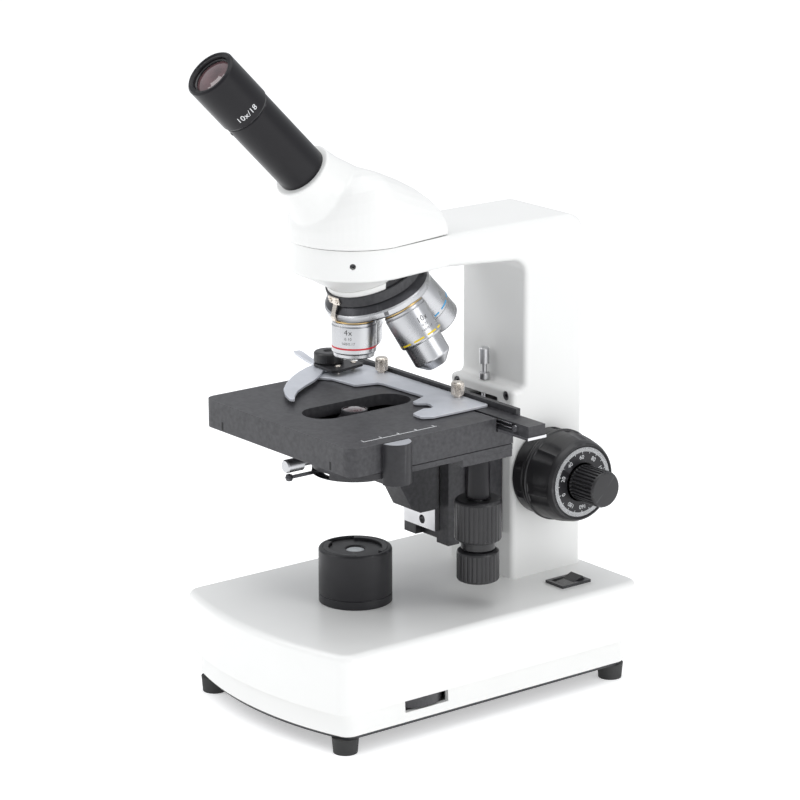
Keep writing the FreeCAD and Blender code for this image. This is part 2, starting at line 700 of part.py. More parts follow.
def across_at(edge, spot):
    """True for a straight edge parallel to X that passes the spot."""
    if len(edge.Vertexes) != 2:
        return False
    first, last = edge.Vertexes[0].Point, edge.Vertexes[1].Point
    same = abs(first.y - last.y) < 0.01 and abs(first.z - last.z) < 0.01
    return same and abs(first.y - spot.y) < 0.5 and abs(first.z - spot.z) < 0.8


def long_side_edge(edge, floor):
    """True for the long edges of the arm's two flat sides, away from its foot."""
    half = D["arm_half"].number
    on_side = all(abs(abs(vertex.Point.x) - half) < 0.01 for vertex in edge.Vertexes)
    low = all(vertex.Point.z < floor + 0.5 for vertex in edge.Vertexes)
    front = all(abs(vertex.Point.y) < 0.5 for vertex in edge.Vertexes)
    return on_side and not low and not front


# ---------------------------------------------------------------- focus drive

def make_focus():
    """Shafts, knobs, pinion, bushes, guides, slide and rack of the focus drive."""
    y, z = D["focus_y"], D["focus_z"]
    bushes = []
    for side, way in ((-1, ALONG_X), (1, ALONG_MINUS_X)):
        profile = [(5.0 + RUNNING, -9.6), (14.0 - RUNNING, -9.6), (14.0 - RUNNING, 0), (8.0, 0), (8.0, 9.0),
                   (5.0 + RUNNING, 9.0)]
        bushes.append(turned(f"bush_{side + 1}", profile, D["arm_half"] * side, y, z, way))
    publish(group("bush_pair", *bushes), "shaft_bushes")
    reach = D["coarse_outer"] - 4
    profile = [(3.0 + RUNNING, -reach), (5.0, -reach), (5.0, reach), (3.0 + RUNNING, reach)]
    publish(turned("coarse_tube", profile, 0, y, z, ALONG_X), "coarse_shaft")
    publish(pinion(), "focus_pinion")

    face, start, radius = D["coarse_outer"], D["coarse_inner"], D["coarse_radius"]
    coarse = []
    for side, way in ((1, ALONG_X), (-1, ALONG_MINUS_X)):
        profile = [(5.0, start), (radius - 1.2, start),
                   (radius, start + 1.2), (radius - 1.6, face - 4.5), (D["dial_radius"] + 1.6, face - 0.6),
                   (D["dial_radius"] + 0.4, face), (D["dial_radius"], face + 1.0),
                   (12.2, face + 1.0), (12.2, face - 4), (5.0, face - 4)]
        coarse.append(turned(f"coarse_{side + 1}", profile, 0, y, z, way))
    publish(group("coarse_pair", *coarse), "coarse_knobs")
    reach = D["fine_outer"] - 3
    publish(cylinder("fine_rod", 3.0, reach * 2, -reach, y, z, ALONG_X), "fine_shaft")
    fine = []
    for side, way in ((1, ALONG_X), (-1, ALONG_MINUS_X)):
        radius, outer = D["fine_radius"], D["fine_outer"]
        low = face + 1.0 + GAP
        profile = [(3.0, low), (radius - 0.4, low), (radius, low + 1), (radius - 0.3, outer - 1.2),
                   (radius - 1.4, outer), (0, outer), (0, outer - 3), (3.0, outer - 3)]
        fine.append(turned(f"fine_{side + 1}", profile, 0, y, z, way))
    publish(group("fine_pair", *fine), "fine_knobs")
    start = D["arm_half"] + GAP
    radius = D["tension_radius"]
    profile = [(14.0, 0), (radius - 1, 0), (radius, 1), (radius, 8.4), (radius - 0.8, 9.4), (14.0, 9.4)]
    publish(turned("tension", profile, start, y, z, ALONG_X), "tension_ring")

    guides = [box(f"guide_{side + 1}", (12.6 * side - 1.7, 12.6 * side + 1.7), (91.5, 102.4), (70, 160))
              for side in (-1, 1)]
    publish(group("guide_pair", *guides), "slide_guides")

    half, front = D["slide_half"], D["slide_front"]
    top = D["layer_low"]
    block = box("slide_block", (-half, half), (front, D["boss_front"] - GAP * 2), (D["slide_low"], top))
    tongue = box("slide_tongue", (-10.4, 10.4), (D["boss_front"] - 2, 103.0), (D["slide_low"] + 4, 143.0))
    groove = box("slide_groove", (-half - 1, -half + 2.2), (front + 8, front + 14), (D["slide_low"] - 1, top))
    mirror_groove = box("slide_groove_right", (half - 2.2, half + 1), (front + 8, front + 14),
                        (D["slide_low"] - 1, top))
    channel = box("condenser_channel", (-9.5, 9.5), (front - 1, front + 5), (D["slide_low"] - 1, top - 8))
    knob_bore = cylinder("knob_bore", 2.4 + RUNNING, 14, -half - 1, front + 20, 112, ALONG_X)
    publish(cut("slide_cut", fuse("slide_solid", block, tongue), groove, mirror_groove, channel,
                knob_bore), "focus_slide")
    publish(rack(), "focus_rack")


def toothed_outline(points):
    """A planar face through points."""
    return Part.Face(Part.makePolygon(points + [points[0]]))


PINION_TEETH = 16
TOOTH_PITCH = 3.0


def pinion():
    """Spur pinion on the coarse shaft, drawn in the plane across the shaft."""
    middle = PINION_TEETH * TOOTH_PITCH / (2 * math.pi)
    rim = [(middle - 0.9, -0.32), (middle + 0.7, -0.14), (middle + 0.7, 0.14), (middle - 0.9, 0.32)]
    points = []
    for tooth in range(PINION_TEETH):
        for radius, share in rim:
            angle = 2 * math.pi * (tooth + share) / PINION_TEETH
            points.append(V(0, radius * math.cos(angle), radius * math.sin(angle)))
    blank = toothed_outline(points).extrude(V(12, 0, 0))
    bore = Part.makeCylinder(5.0, 14, V(-1, 0, 0), V(1, 0, 0))
    item = doc.addObject("Part::Feature", "pinion_gear")
    item.Shape = blank.cut(bore)
    return put(item, -6, D["focus_y"], D["focus_z"])


def rack():
    """Straight rack on the back of the slide's tongue, clear of the pinion's tips."""
    depth = D["focus_y"].number - PINION_TEETH * TOOTH_PITCH / (2 * math.pi) - 0.7 - GAP.number - 103.0
    low, high = D["slide_low"].number + 6, 141.0
    count = int((high - low) / TOOTH_PITCH)
    points = [V(0, 0, 0)]
    for tooth in range(count):
        start = tooth * TOOTH_PITCH
        for up, out in ((0.2, depth - 1.6), (0.9, depth), (1.7, depth), (2.4, depth - 1.6)):
            points.append(V(0, out, start + up))
    points.append(V(0, 0, count * TOOTH_PITCH))
    item = doc.addObject("Part::Feature", "rack_bar")
    item.Shape = toothed_outline(points).extrude(V(10, 0, 0))
    return put(item, -5, 103.0, low)


# ---------------------------------------------------------------- stage

def make_stage():
    """Fixed layer, moving plate, drive column and its two knobs."""
    half, low = D["stage_half"], D["layer_low"]
    layer_top = D["stage_low"] - GAP
    layer = box("layer_block", (-60, half), (-47, 57), (low, layer_top))
    layer = round_edges("layer_corners", layer, 16, lambda edge: upright(edge) and edge.BoundBox.YMin < 0)
    boss = cylinder("vernier_post", 9.7, 167.0 - 143.0, half + 0.9, -25, 143.0)
    inner = box("vernier_trim", (half - 20, half + GAP * 1.5), (-40, -10), (layer_top, 180))
    light_hole = cylinder("layer_hole", D["condenser_radius"] + 2, 20, 0, 0, low - 5)
    x, y = D["column_x"], D["column_y"]
    tube = cylinder("drive_tube", D["column_radius"], low - 121.6 + 1, x, y, 121.6)
    tube_bore = cylinder("drive_bore", 3.0 + RUNNING, low - 121.6 + 0.5, x, y, 121.6)
    solid = fuse("layer_solid", layer, cut("vernier_cut", boss, inner), tube)
    publish(cut("layer_cut", solid, light_hole, tube_bore), "stage_base")

    body = new_body("stage_body")
    front, back = D["stage_front"], D["stage_back"]
    corners = [(-half, front), (half, front), (half, back), (-half, back)]
    sketch = outline(body, "stage_plan", "XY_Plane", corners, D["stage_low"])
    plate = pad(body, "stage_block", sketch, D["stage_level"] - D["stage_low"])
    dress(body, "stage_corners", "Fillet", plate, 7.0,
          lambda edge: upright(edge) and edge.Vertexes[0].Point.y < 0)
    wide = D["opening_half"]
    slot = fuse("stage_opening",
                box("opening_middle", (-wide, wide), (D["opening_front"] + wide, D["opening_back"] - wide),
                    (150, 180)),
                cylinder("opening_front_end", wide, 30, 0, D["opening_front"] + wide, 150),
                cylinder("opening_back_end", wide, 30, 0, D["opening_back"] - wide, 150))
    ledge = box("stage_ledge", (-half, half), (back - 2, D["bar_back"] - 1.5), (D["stage_low"], 163.2))
    hollow = box("stage_hollow", (-half + 9, half - 9), (front + 9, back - 6),
                 (D["stage_low"] - 1, D["stage_level"] - 6.5))
    publish(cut("stage_cut", fuse("stage_solid", body, ledge), slot, hollow), "stage_plate")

    upper = D["upper_knob_radius"]
    profile = [(3.0 + RUNNING, 92.4), (9.6, 92.4), (9.6, 98.4), (upper - 0.6, 98.4), (upper, 99.2),
               (upper, 120.2), (upper - 0.8, 121.2), (3.0 + RUNNING, 121.2)]
    publish(turned("upper_knob", profile, x, y, 0), "stage_y_knob")
    lower = D["lower_knob_radius"]
    profile = [(0, 74.2), (lower - 0.8, 74.2), (lower, 75), (lower, 91), (lower - 0.8, 91.9),
               (3.0, 91.9), (3.0, 144.0), (0, 144.0)]
    publish(turned("lower_knob", profile, x, y, 0), "stage_x_knob")


def make_carriage():
    """Carriage bar, scale strip, slide holder, its thumb screws, finger mount and sprung finger."""
    low, top = D["bar_low"], D["stage_level"] + 0.4
    front, back = D["bar_front"], D["bar_back"]
    bar = box("bar_block", (D["bar_left"], D["bar_right"]), (front, back), (low, top))
    lip = box("bar_lip", (D["bar_left"], 70), (back - 1.6, back + 1.4), (top - 2, top + 3.4))
    groove = box("bar_groove", (D["bar_left"] + 6, 80), (front - 1, front + 1.6), (low + 1.2, top - 0.8))
    publish(cut("bar_cut", fuse("bar_solid", bar, lip), groove), "carriage_bar")
    strip = box("strip", (D["bar_left"] + 4, D["bar_right"] + 1), (front - 1.2, back), (low - 1.5, low))
    rods = [cylinder(f"rod_{i}", 0.55, 143, D["bar_left"] + 7, front + 0.9, low + level, ALONG_X)
            for i, level in enumerate((1.9, 4.4))]
    pin = cylinder("carriage_pin", 1.9, 1.5, 82.6, front - 0.02, low + 3.1, ALONG_MINUS_Y)
    publish(group("strip_set", strip, pin, *rods), "carriage_steel")

    level = D["holder_level"]
    body = put(doc.addObject("PartDesign::Body", "holder_body"), 0, 0, 0)
    corners = [(-82, 36), (-77, 26), (-62, 10), (-50, 22), (-31, 24.5), (-26.5, 38), (11.5, 39.5),
               (16.5, 27.5), (20.5, 26.5), (24.5, 31), (34, 26), (32.5, 20.5), (36.5, 11.6),
               (45.5, 11.6), (48, 16), (48, 56.6), (-60, 56.6), (-80, 46)]
    holder = pad(body, "holder_block",
                 outline(body, "holder_plan", "XY_Plane", corners, D["stage_level"] + 0.4),
                 level - D["stage_level"] - 0.4)
    dress(body, "holder_corner", "Fillet", holder, 3.0,
          lambda edge: edge.BoundBox.XMin > 47.9 and edge.BoundBox.XLength < 0.01
          and edge.BoundBox.YLength < 0.01 and edge.BoundBox.YMin > 50)
    publish(body, "slide_holder")
    screws = []
    for i, x in enumerate((-43.8, 24.7)):
        profile = [(0, 0), (2.2, 0), (2.2, 1.2), (3.7, 1.6), (3.7, 8.2), (3.2, 8.7), (0, 8.7)]
        screws.append(turned(f"thumb_{i}", profile, x, 53.0, level))
    publish(group("thumb_pair", *screws), "thumb_screws")

    x, y = D["pivot_x"], D["pivot_y"]
    body = put(doc.addObject("PartDesign::Body", "mount_body"), 0, 0, 0)
    corners = [(x - 8.5, y - 1), (x - 3, y - 8.5), (x + 15.5, y - 9.5), (x + 18, y - 6), (x + 13.5, y + 13.5),
               (x + 8, y + 14.5), (x - 6, y + 7)]
    pad(body, "mount_block", outline(body, "mount_plan", "XY_Plane", corners, level + 2.3), 1.6)
    post = cylinder("mount_post", 4.0, 2.3, x, y, level)
    spacer = cylinder("mount_spacer", 3.0, 2.3, x + 10.5, y + 1.5, level)
    cap = turned("pivot_cap", [(2.4, 3.9), (8.6, 3.9), (8.6, 9.6), (7.6, 10.6), (2.4, 10.6)], x, y, level)
    screw = turned("pivot_screw", [(0, 3.9), (2.4, 3.9), (2.4, 10.2), (0, 10.2)], x, y, level)
    publish(fuse("mount_solid", body, post, spacer, cap, screw), "finger_mount")
    publish(finger(x, y, level + GAP), "spring_finger")


def finger(x, y, level):
    """Curved finger that holds the slide's corner, with its thumb tab past the pivot."""
    body = put(doc.addObject("PartDesign::Body", "finger_body"), 0, 0, 0)
    corners = [(x + 5.5, y - 8), (x + 20.5, y - 25), (x + 44.5, y - 55.5), (x + 46.5, y - 58.5),
               (x + 43, y - 59.5), (x + 30, y - 55), (x + 12, y - 41.5), (x - 2, y - 25), (x - 7, y - 8)]
    arm = pad(body, "finger_block", outline(body, "finger_plan", "XY_Plane", corners, level), 1.6)
    dress(body, "finger_tip", "Fillet", arm, 0.6,
          lambda edge: edge.BoundBox.ZLength > 1.0 and edge.BoundBox.XLength < 0.01
          and edge.BoundBox.YLength < 0.01 and edge.BoundBox.YMax < y.number - 50)
    eye = cylinder("finger_eye", 6.8, 1.6, x, y, level)
    bore = cylinder("finger_bore", 4.0 + RUNNING, 8, x, y, level - 3)
    neck = box("finger_neck", (x - 7, x + 5.5), (y - 9, y - 2), (level, level + 1.6))
    tab = box("finger_tab", (x - 28, x - 4), (y - 3.2, y + 3.2), (level, level + 1.6))
    step = box("finger_rise", (x - 30, x - 22), (y - 3.2, y + 3.2), (level, level + 5.0))
    return cut("finger_cut", fuse("finger_solid", body, eye, neck, tab, step), bore)


def make_condenser():
    """Condenser slide, holder ring, condenser barrel and lens, iris lever and focus knob."""
    front = D["slide_front"]
    plate = box("condenser_plate", (-16, 12), (front - 3.4, front - GAP), (92.5, 140))
    key = box("condenser_key", (-9.5 + GAP, 9.5 - GAP), (front - 2, front + 5 - GAP), (94, 132))
    hole = cylinder("plate_hole", 2.6, 10, 0.5, front + 2, 97, ALONG_MINUS_Y)
    publish(cut("condenser_slide_cut", fuse("condenser_slide_solid", plate, key), hole),
            "condenser_slide")
    radius = D["holder_radius"]
    low, high = D["holder_low"], D["layer_low"] - GAP * 2
    ring = cylinder("holder_ring", radius, high - low, 0, 0, low)
    web_body = put(doc.addObject("PartDesign::Body", "web_body"), 6.5, 0, 0)
    profile = [(14, low), (14, high), (front - 3.4, high), (front - 3.4, 106.5), (34.5, 106.5),
               (28.5, 109.5), (22, 121.5)]
    pad(web_body, "web_block", outline(web_body, "web_side", "YZ_Plane", profile), 17, 0, True)
    bore = cylinder("holder_bore", D["condenser_radius"] + RUNNING, 60, 0, 0, low - 20)
    screw_bore = cylinder("holder_screw_bore", 1.9, 20, -6, -12, 142.9, ALONG_MINUS_Y)
    lever_slot = box("lever_slot", (-17, 7), (-30, -8), (D["iris_level"] - 1.5, D["iris_level"] + 1.9))
    publish(cut("condenser_holder_cut", fuse("condenser_holder_solid", ring, web_body), bore,
                screw_bore, lever_slot), "condenser_holder")
    profile = [(0, 0), (1.9, 0), (1.9, 14), (3.8, 14), (3.8, 24), (3.2, 24.8), (0, 24.8)]
    publish(turned("clamp_screw", profile, -6, -18.6, 142.9, ALONG_MINUS_Y), "condenser_screw")

    barrel_radius = D["condenser_radius"]
    base = D["condenser_low"]
    profile = [(7.5, base), (barrel_radius, base), (barrel_radius, 146.4), (17.0, 149), (16.6, 157),
               (7.8, 166.2), (7.2, 169.4), (6.4, 169.6), (6.4, 168), (7.5, 158)]
    publish(turned("condenser_barrel", profile, 0, 0, 0), "condenser")
    profile = [(0, 167.2), (6.4, 167.2), (6.4, 169.2), (3.6, 170.0), (0, 170.3)]
    publish(turned("condenser_front_lens", profile, 0, 0, 0), "condenser_lens")
    level = D["iris_level"]
    ring = turned("iris_ring", [(9, -1.0), (17.6, -1.0), (17.6, 3.5), (9, 3.5)], 0, 0, level)
    stem = box("iris_stem", (-6.8, -5.2), (-39.5, -14), (level - 0.6, level + 1.0))
    ball = turned("iris_ball", [(0, -2.3), (1.7, -1.6), (2.3, 0), (1.7, 1.6), (0, 2.3)], -6, -40.6,
                  level + 0.2)
    publish(fuse("iris_solid", ring, stem, ball), "iris_lever")

    knob_y, knob_z = front + 20, 112.0
    profile = [(0, 0), (2.4, 0), (2.4, 12), (8.6, 12), (9.4, 13), (9.4, 24), (8.4, 25), (0, 25)]
    spot = D["slide_half"] - 9.6
    knob = turned("condenser_turn", profile, -spot, knob_y, knob_z, ALONG_MINUS_X)
    publish(knob, "condenser_knob")


# ---------------------------------------------------------------- nosepiece

def turret_way():
    """Direction of the turret's axis, downwards and back."""
    lean = math.radians(D["turret_tilt"].number)
    return V(0, math.sin(lean), -math.cos(lean))


def turret_centre(offset):
    """A point on the turret's axis; offset is measured from the plane of the objectives' shoulders."""
    offset = size(offset).number
    lean = math.radians(D["turret_tilt"].number)
    apex = V(0, 0, D["seat_level"].number + D["seat_reach"].number)
    return apex + turret_way() * (D["seat_reach"].number * math.cos(lean) + offset)


def turret_rotation():
    """Turns +Z into the turret's axis."""
    return FreeCAD.Rotation(V(0, 0, 1), turret_way())


def turret_cylinder(name, radius, height, offset):
    """A cylinder on the turret's axis that starts at an offset and runs downwards."""
    spot = turret_centre(offset)
    return cylinder(name, radius, height, spot.x, spot.y, spot.z, turret_rotation())


def turret_turned(name, profile, offset=0.0):
    """A turned piece on the turret's axis."""
    spot = turret_centre(offset)
    return turned(name, profile, spot.x, spot.y, spot.z, turret_rotation())


def objective_way(turn):
    """Direction of an objective, where turn is its angle round the turret from the front."""
    lean = math.radians(D["turret_tilt"].number)
    way = turret_way()
    forward = V(0, -math.cos(lean), -math.sin(lean))
    radial = forward * math.cos(turn) + V(1, 0, 0) * math.sin(turn)
    return way * math.cos(lean) + radial * math.sin(lean)


TURRET_TOP = -12.0
CLIP_TURN = -3.0


def make_nosepiece():
    """Fixed base, turning turret, click clip and four objectives."""
    radius = D["turret_radius"]
    rim, top = D["collar_radius"] + 1.1, D["collar_offset"]
    base = turret_turned("nosepiece_disc", [(0, top), (rim - 0.6, top), (rim, top + 0.6),
                                            (rim, TURRET_TOP - GAP), (0, TURRET_TOP - GAP)])
    pivot = turret_cylinder("nosepiece_pivot", 4.0, 14, TURRET_TOP - 1)
    riser = turret_cylinder("nosepiece_riser", D["collar_radius"] - 0.3, 20, top - 19)
    kept = box("riser_limit", (-45, 45), (D["relief_y"] + 0.1, 60), (220, D["relief_level"] - 0.1))
    light = cylinder("nosepiece_light", 9.0, 60, 0, 0, 210)
    solid = fuse("nosepiece_solid", base, pivot, common("nosepiece_pad", riser, kept))
    publish(cut("nosepiece_cut", solid, light), "nosepiece_base")

    lean = math.radians(D["turret_tilt"].number)
    seat = D["seat_reach"].number * math.sin(lean)
    slope = math.tan(lean)
    ring_low = -(radius.number - 1 - seat) * slope
    profile = [(4.0 + RUNNING, TURRET_TOP), (radius - 4.8, TURRET_TOP), (radius - 0.8, -8.4), (radius, -7.6),
               (radius, ring_low - 1.0), (radius - 1, ring_low), (6.5, (seat - 6.5) * slope),
               (4.0 + RUNNING, (seat - 6.5) * slope)]
    ring = turret_turned("turret_ring", profile)
    bores = []
    for number in range(4):
        way = objective_way(math.pi / 2 * number)
        start = V(0, 0, D["seat_level"].number + D["seat_reach"].number) + way * (D["seat_reach"].number - 20)
        bores.append(cylinder(f"turret_bore_{number}", 8.0, 24, start.x, start.y, start.z,
                              FreeCAD.Rotation(V(0, 0, 1), way)))
    publish(cut("turret_cut", ring, *bores), "turret")
    publish(click_clip(), "click_clip")

    barrel = D["objective_radius"]
    shapes = {
        "objective_4x": [(6, -1), (8, -1), (8, 0), (barrel - 0.7, 0.3), (barrel, 1.2), (barrel, 17.2),
                         (barrel - 1.4, 18.6), (barrel - 1.4, 20.2), (6, 20.2)],
        "objective_10x": [(6, -1), (8, -1), (8, 0), (barrel - 0.7, 0.3), (barrel, 1.2), (barrel, 20),
                          (barrel - 1.9, 21), (barrel - 2.2, 32), (5.2, 37), (4.0, 37)],
        "objective_40x": [(5, -1), (8, -1), (8, 0), (barrel - 0.7, 0.3), (barrel, 1.2), (barrel, 23),
                          (barrel - 0.6, 33), (4.4, 38.5), (3.4, 38.5)],
        "objective_100x": [(5, -1), (8, -1), (8, 0), (barrel - 0.7, 0.3), (barrel, 1.2), (barrel, 23),
                           (barrel - 0.6, 33), (4.0, 39.5), (3.0, 39.5)],
    }
    fronts = []
    for number, (label, profile) in enumerate(shapes.items()):
        way = objective_way(math.pi / 2 * number)
        seat_spot = V(0, 0, D["seat_level"].number + D["seat_reach"].number) + way * D["seat_reach"].number
        spin = FreeCAD.Rotation(V(0, 0, 1), way)
        publish(turned(label + "_body", profile, seat_spot.x, seat_spot.y, seat_spot.z, spin), label)
        radius, depth = profile[-1]
        glass = [(0, depth - 2.2), (radius, depth - 2.2), (radius, depth - 0.6), (0, depth - 0.3)]
        fronts.append(turned(f"front_lens_{number}", glass, seat_spot.x, seat_spot.y, seat_spot.z, spin))
    publish(group("front_lens_set", *fronts), "objective_lenses")


def click_clip():
    """Leaf spring that clicks into the turret's notches: a plate on the base's rim and a stem down."""
    lean = math.radians(D["turret_tilt"].number)
    turn = math.radians(CLIP_TURN)
    forward = V(0, -math.cos(lean), -math.sin(lean))
    outward = forward * math.cos(turn) + V(1, 0, 0) * math.sin(turn)
    frame = FreeCAD.Rotation(outward.cross(turret_way()), outward, turret_way(), "ZYX")
    rim = D["collar_radius"].number + 1.1
    reach = D["turret_radius"].number - rim + 0.5
    plate = Part.makeBox(9.6, 0.9, 4.2, V(-4.8, rim + 0.1, D["collar_offset"].number))
    side = [V(0, 0.1, -14.2), V(0, 1.0, -14.2), V(0, reach + 0.9, -8.0), V(0, reach + 0.9, -4.8),
            V(0, reach, -4.8), V(0, reach, -7.9)]
    stem = toothed_outline([V(-1.7, rim, 0) + point for point in side]).extrude(V(3.4, 0, 0))
    heads = [Part.makeCylinder(1.1, 0.8, V(x, rim + 1.0, D["collar_offset"].number + 2.0), V(0, 1, 0))
             for x in (-2.9, 2.9)]
    item = doc.addObject("Part::Feature", "clip_strip")
    item.Shape = plate.fuse([stem] + heads).removeSplitter()
    return put(item, *turret_centre(0.0), frame)


# ---------------------------------------------------------------- head and eyepiece

def head_slice(body, name, level, share, back_shift=0):
    """The head's plan at one height, shrunk by the share."""
    radius = D["head_radius"] * share
    half = D["head_back_half"] * share
    back = D["head_back"] - back_shift
    corners = [(-radius, 0), (radius, 0), (half, back), (-half, back)]
    return outline(body, name, "XY_Plane", corners, level, (0, -radius))


def tube_turned(name, profile):
    """A turned piece on the inclined tube's axis, measured from the optical axis."""
    lean = math.radians(D["tube_lean"].number)
    return turned(name, profile, 0, 0, D["tube_origin"], towards(0, -math.sin(lean), math.cos(lean)))


def make_head():
    """Head shell with its collar, mount ring, prism, tube, eyepiece and lenses."""
    level = D["arm_level"] + GAP
    body = new_body("head_plan_body")
    plan = head_slice(body, "head_plan", level, 1.0)
    pad(body, "head_block", plan, 44)
    side_body = new_body("head_side_body")
    profile = [(-37, level), (-37, 283), (-26, 296), (-13, 305.5), (-4, 306.2), (10, 302.4),
               (26, 294.6), (40, 285.6), (46, 280.6), (46, level)]
    pad(side_body, "head_side_block", outline(side_body, "head_side", "YZ_Plane", profile), 90, 0, True)
    across_body = new_body("head_across_body")
    profile = [(-37, level), (-37, 284), (-31, 294), (-20, 302), (-8, 306), (8, 306), (20, 302),
               (31, 294), (37, 284), (37, level)]
    pad(across_body, "head_across_block", outline(across_body, "head_across", "XZ_Plane", profile),
        120, 0, True)
    dome = common("head_dome", body, side_body, across_body)
    collar = tube_turned("head_collar", [(0, 10), (24.5, 10), (21.0, 30), (17.6, 44),
                                         (17.2, D["tube_start"]), (0, D["tube_start"])])
    foot = cylinder("collar_limit", 80, 80, 0, 0, level)
    solid = fuse("head_solid", dome, common("head_collar_part", collar, foot))
    tube_bore = tube_turned("head_tube_bore", [(0, -4), (12.0, -4), (12.0, 60), (0, 60)])
    light = cylinder("head_light", 10.8, 24, 0, 0, level - 2)
    publish(cut("head_cut", solid, tube_bore, light), "head_shell")

    low = 0.3 - D["seat_depth"]
    profile = [(12.0, low), (19.0, low), (19.0, -0.1), (17, GAP), (12.0, GAP)]
    publish(turned("head_ring", profile, 0, 0, D["arm_level"]), "head_mount_ring")
    item = doc.addObject("Part::Feature", "prism_block")
    side = 15.0
    base = [V(-7.5, side / 2, -6), V(-7.5, -side / 2, -6), V(-7.5, -side / 2, 3), V(-7.5, side / 2, 9.2)]
    item.Shape = toothed_outline(base).extrude(V(side, 0, 0))
    publish(put(item, 0, 0, D["tube_origin"]), "head_prism")

    start, end, radius = D["tube_start"], D["tube_end"], D["tube_radius"]
    profile = [(10.8, 24), (12.0, 24), (12.0, start), (radius, start), (radius, end - 0.3),
               (radius - 0.4, end - 0.1), (11.7, end - 0.1), (11.7, end - 30), (10.8, end - 34)]
    publish(tube_turned("ocular_tube", profile), "eyepiece_tube")
    radius, top = D["eyepiece_radius"], D["eyepiece_end"]
    profile = [(10.2, end - 26), (11.6, end - 26), (11.6, end + 0.3), (radius - 0.7, end + 0.3),
               (radius, end + 1.6), (radius, top - 1.4), (radius - 1.2, top), (11.6, top),
               (10.9, top - 2.4), (10.2, top - 2.6)]
    publish(tube_turned("ocular", profile), "eyepiece")
    profile = [(0, top - 6.4), (10.2, top - 6.4), (10.2, top - 4.2), (6, top - 2.9), (0, top - 2.4)]
    eye = tube_turned("ocular_lens", profile)
    profile = [(0, end - 24), (10.2, end - 24), (10.2, end - 21), (0, end - 20)]
    publish(group("ocular_lenses", eye, tube_turned("ocular_field_lens", profile)), "eyepiece_lenses")


# ---------------------------------------------------------------- finish

def check_document():
    """Stop if anything failed, or a sub-part isn't a valid solid."""
    for item in doc.Objects:
        if "Invalid" in item.State or "Error" in item.State:
            raise ValueError(f"{item.Name} ({item.Label}) is {item.State}")
    labels = [item.Label for item in SUBPARTS]
    if len(set(labels)) != len(labels) or len(labels) > 60:
        raise ValueError(f"{len(labels)} sub-parts, {len(set(labels))} names")
    for item in SUBPARTS:
        shape = item.Shape
        if shape.isNull() or not shape.isValid() or not shape.Solids:
            raise ValueError(f"{item.Label} isn't a valid solid")
        if not re.fullmatch(r"[a-z0-9_]{3,59}", item.Label):
            raise ValueError(f"{item.Label} isn't a usable name")


def write_steps():
    """Write each sub-part to its own file."""
    os.makedirs("parts", exist_ok=True)
    whole = FreeCAD.BoundBox()
    for item in SUBPARTS:
        item.Shape.exportStep(f"parts/{item.Label}.step")
        whole.add(item.Shape.BoundBox)
    middle = ((whole.XMin + whole.XMax) / 2, (whole.YMin + whole.YMax) / 2)
    print(f"{len(SUBPARTS)} sub-parts, box {whole}, middle {middle[0]:.2f} {middle[1]:.2f}")


make_base()
make_lamp()
make_electrics()
make_arm()
make_focus()
make_stage()
make_carriage()
make_condenser()
make_nosepiece()
make_head()
doc.recompute()
check_document()
write_steps()
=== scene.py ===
import json
import math

import bmesh
import bpy
from mathutils import Matrix, Vector


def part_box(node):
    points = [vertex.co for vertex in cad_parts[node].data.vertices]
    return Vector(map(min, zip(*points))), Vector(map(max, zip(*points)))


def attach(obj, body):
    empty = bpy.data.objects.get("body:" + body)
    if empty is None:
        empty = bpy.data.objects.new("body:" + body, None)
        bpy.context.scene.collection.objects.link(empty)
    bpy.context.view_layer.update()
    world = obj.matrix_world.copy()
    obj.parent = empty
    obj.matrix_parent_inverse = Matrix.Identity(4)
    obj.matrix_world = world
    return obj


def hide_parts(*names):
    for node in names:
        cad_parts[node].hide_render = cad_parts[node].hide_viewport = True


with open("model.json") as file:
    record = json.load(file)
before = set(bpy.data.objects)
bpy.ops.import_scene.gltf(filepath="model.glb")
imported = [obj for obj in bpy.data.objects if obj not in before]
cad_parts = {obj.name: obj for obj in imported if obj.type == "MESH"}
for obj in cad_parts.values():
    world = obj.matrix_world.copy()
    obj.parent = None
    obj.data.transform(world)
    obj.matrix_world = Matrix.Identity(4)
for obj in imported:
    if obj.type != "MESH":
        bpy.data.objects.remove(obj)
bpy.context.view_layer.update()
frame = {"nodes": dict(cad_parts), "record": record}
NODES = frame["nodes"]
MM = 0.001


# ---------------------------------------------------------------- places

def middle(node):
    low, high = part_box(node)
    return (low + high) / 2


AXIS = middle("lamp_housing")          # x and y of the optical axis
FOCUS = middle("fine_knobs")           # centre of the focus drive's axis
STAGE_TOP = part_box("stage_plate")[1].z / MM
LEAN = math.radians(22)
APEX = Vector((AXIS.x, AXIS.y, 273.7 * MM))
SEAT = 53.3 * MM
TUBE_TILT = math.radians(45)
TUBE_WAY = Vector((0, -math.sin(TUBE_TILT), math.cos(TUBE_TILT)))
TUBE_FOOT = 273.1                      # height where the tube's axis meets the optical axis
DRIVE = (50.0, 47.3)                   # axis of the stage's two knobs


def at(x, y, z):
    """A point given in millimetres from the optical axis and the floor."""
    return Vector((AXIS.x + x * MM, AXIS.y + y * MM, z * MM))


def axis_frame(origin, way, side=None):
    """A matrix whose Z points along way and whose X is near side."""
    z = Vector(way).normalized()
    x = Vector(side) if side else (Vector((1, 0, 0)) if abs(z.x) < 0.9 else Vector((0, 1, 0)))
    x = (x - z * x.dot(z)).normalized()
    y = z.cross(x)
    turn = Matrix((x, y, z)).transposed().to_4x4()
    return Matrix.Translation(origin) @ turn


# ---------------------------------------------------------------- materials

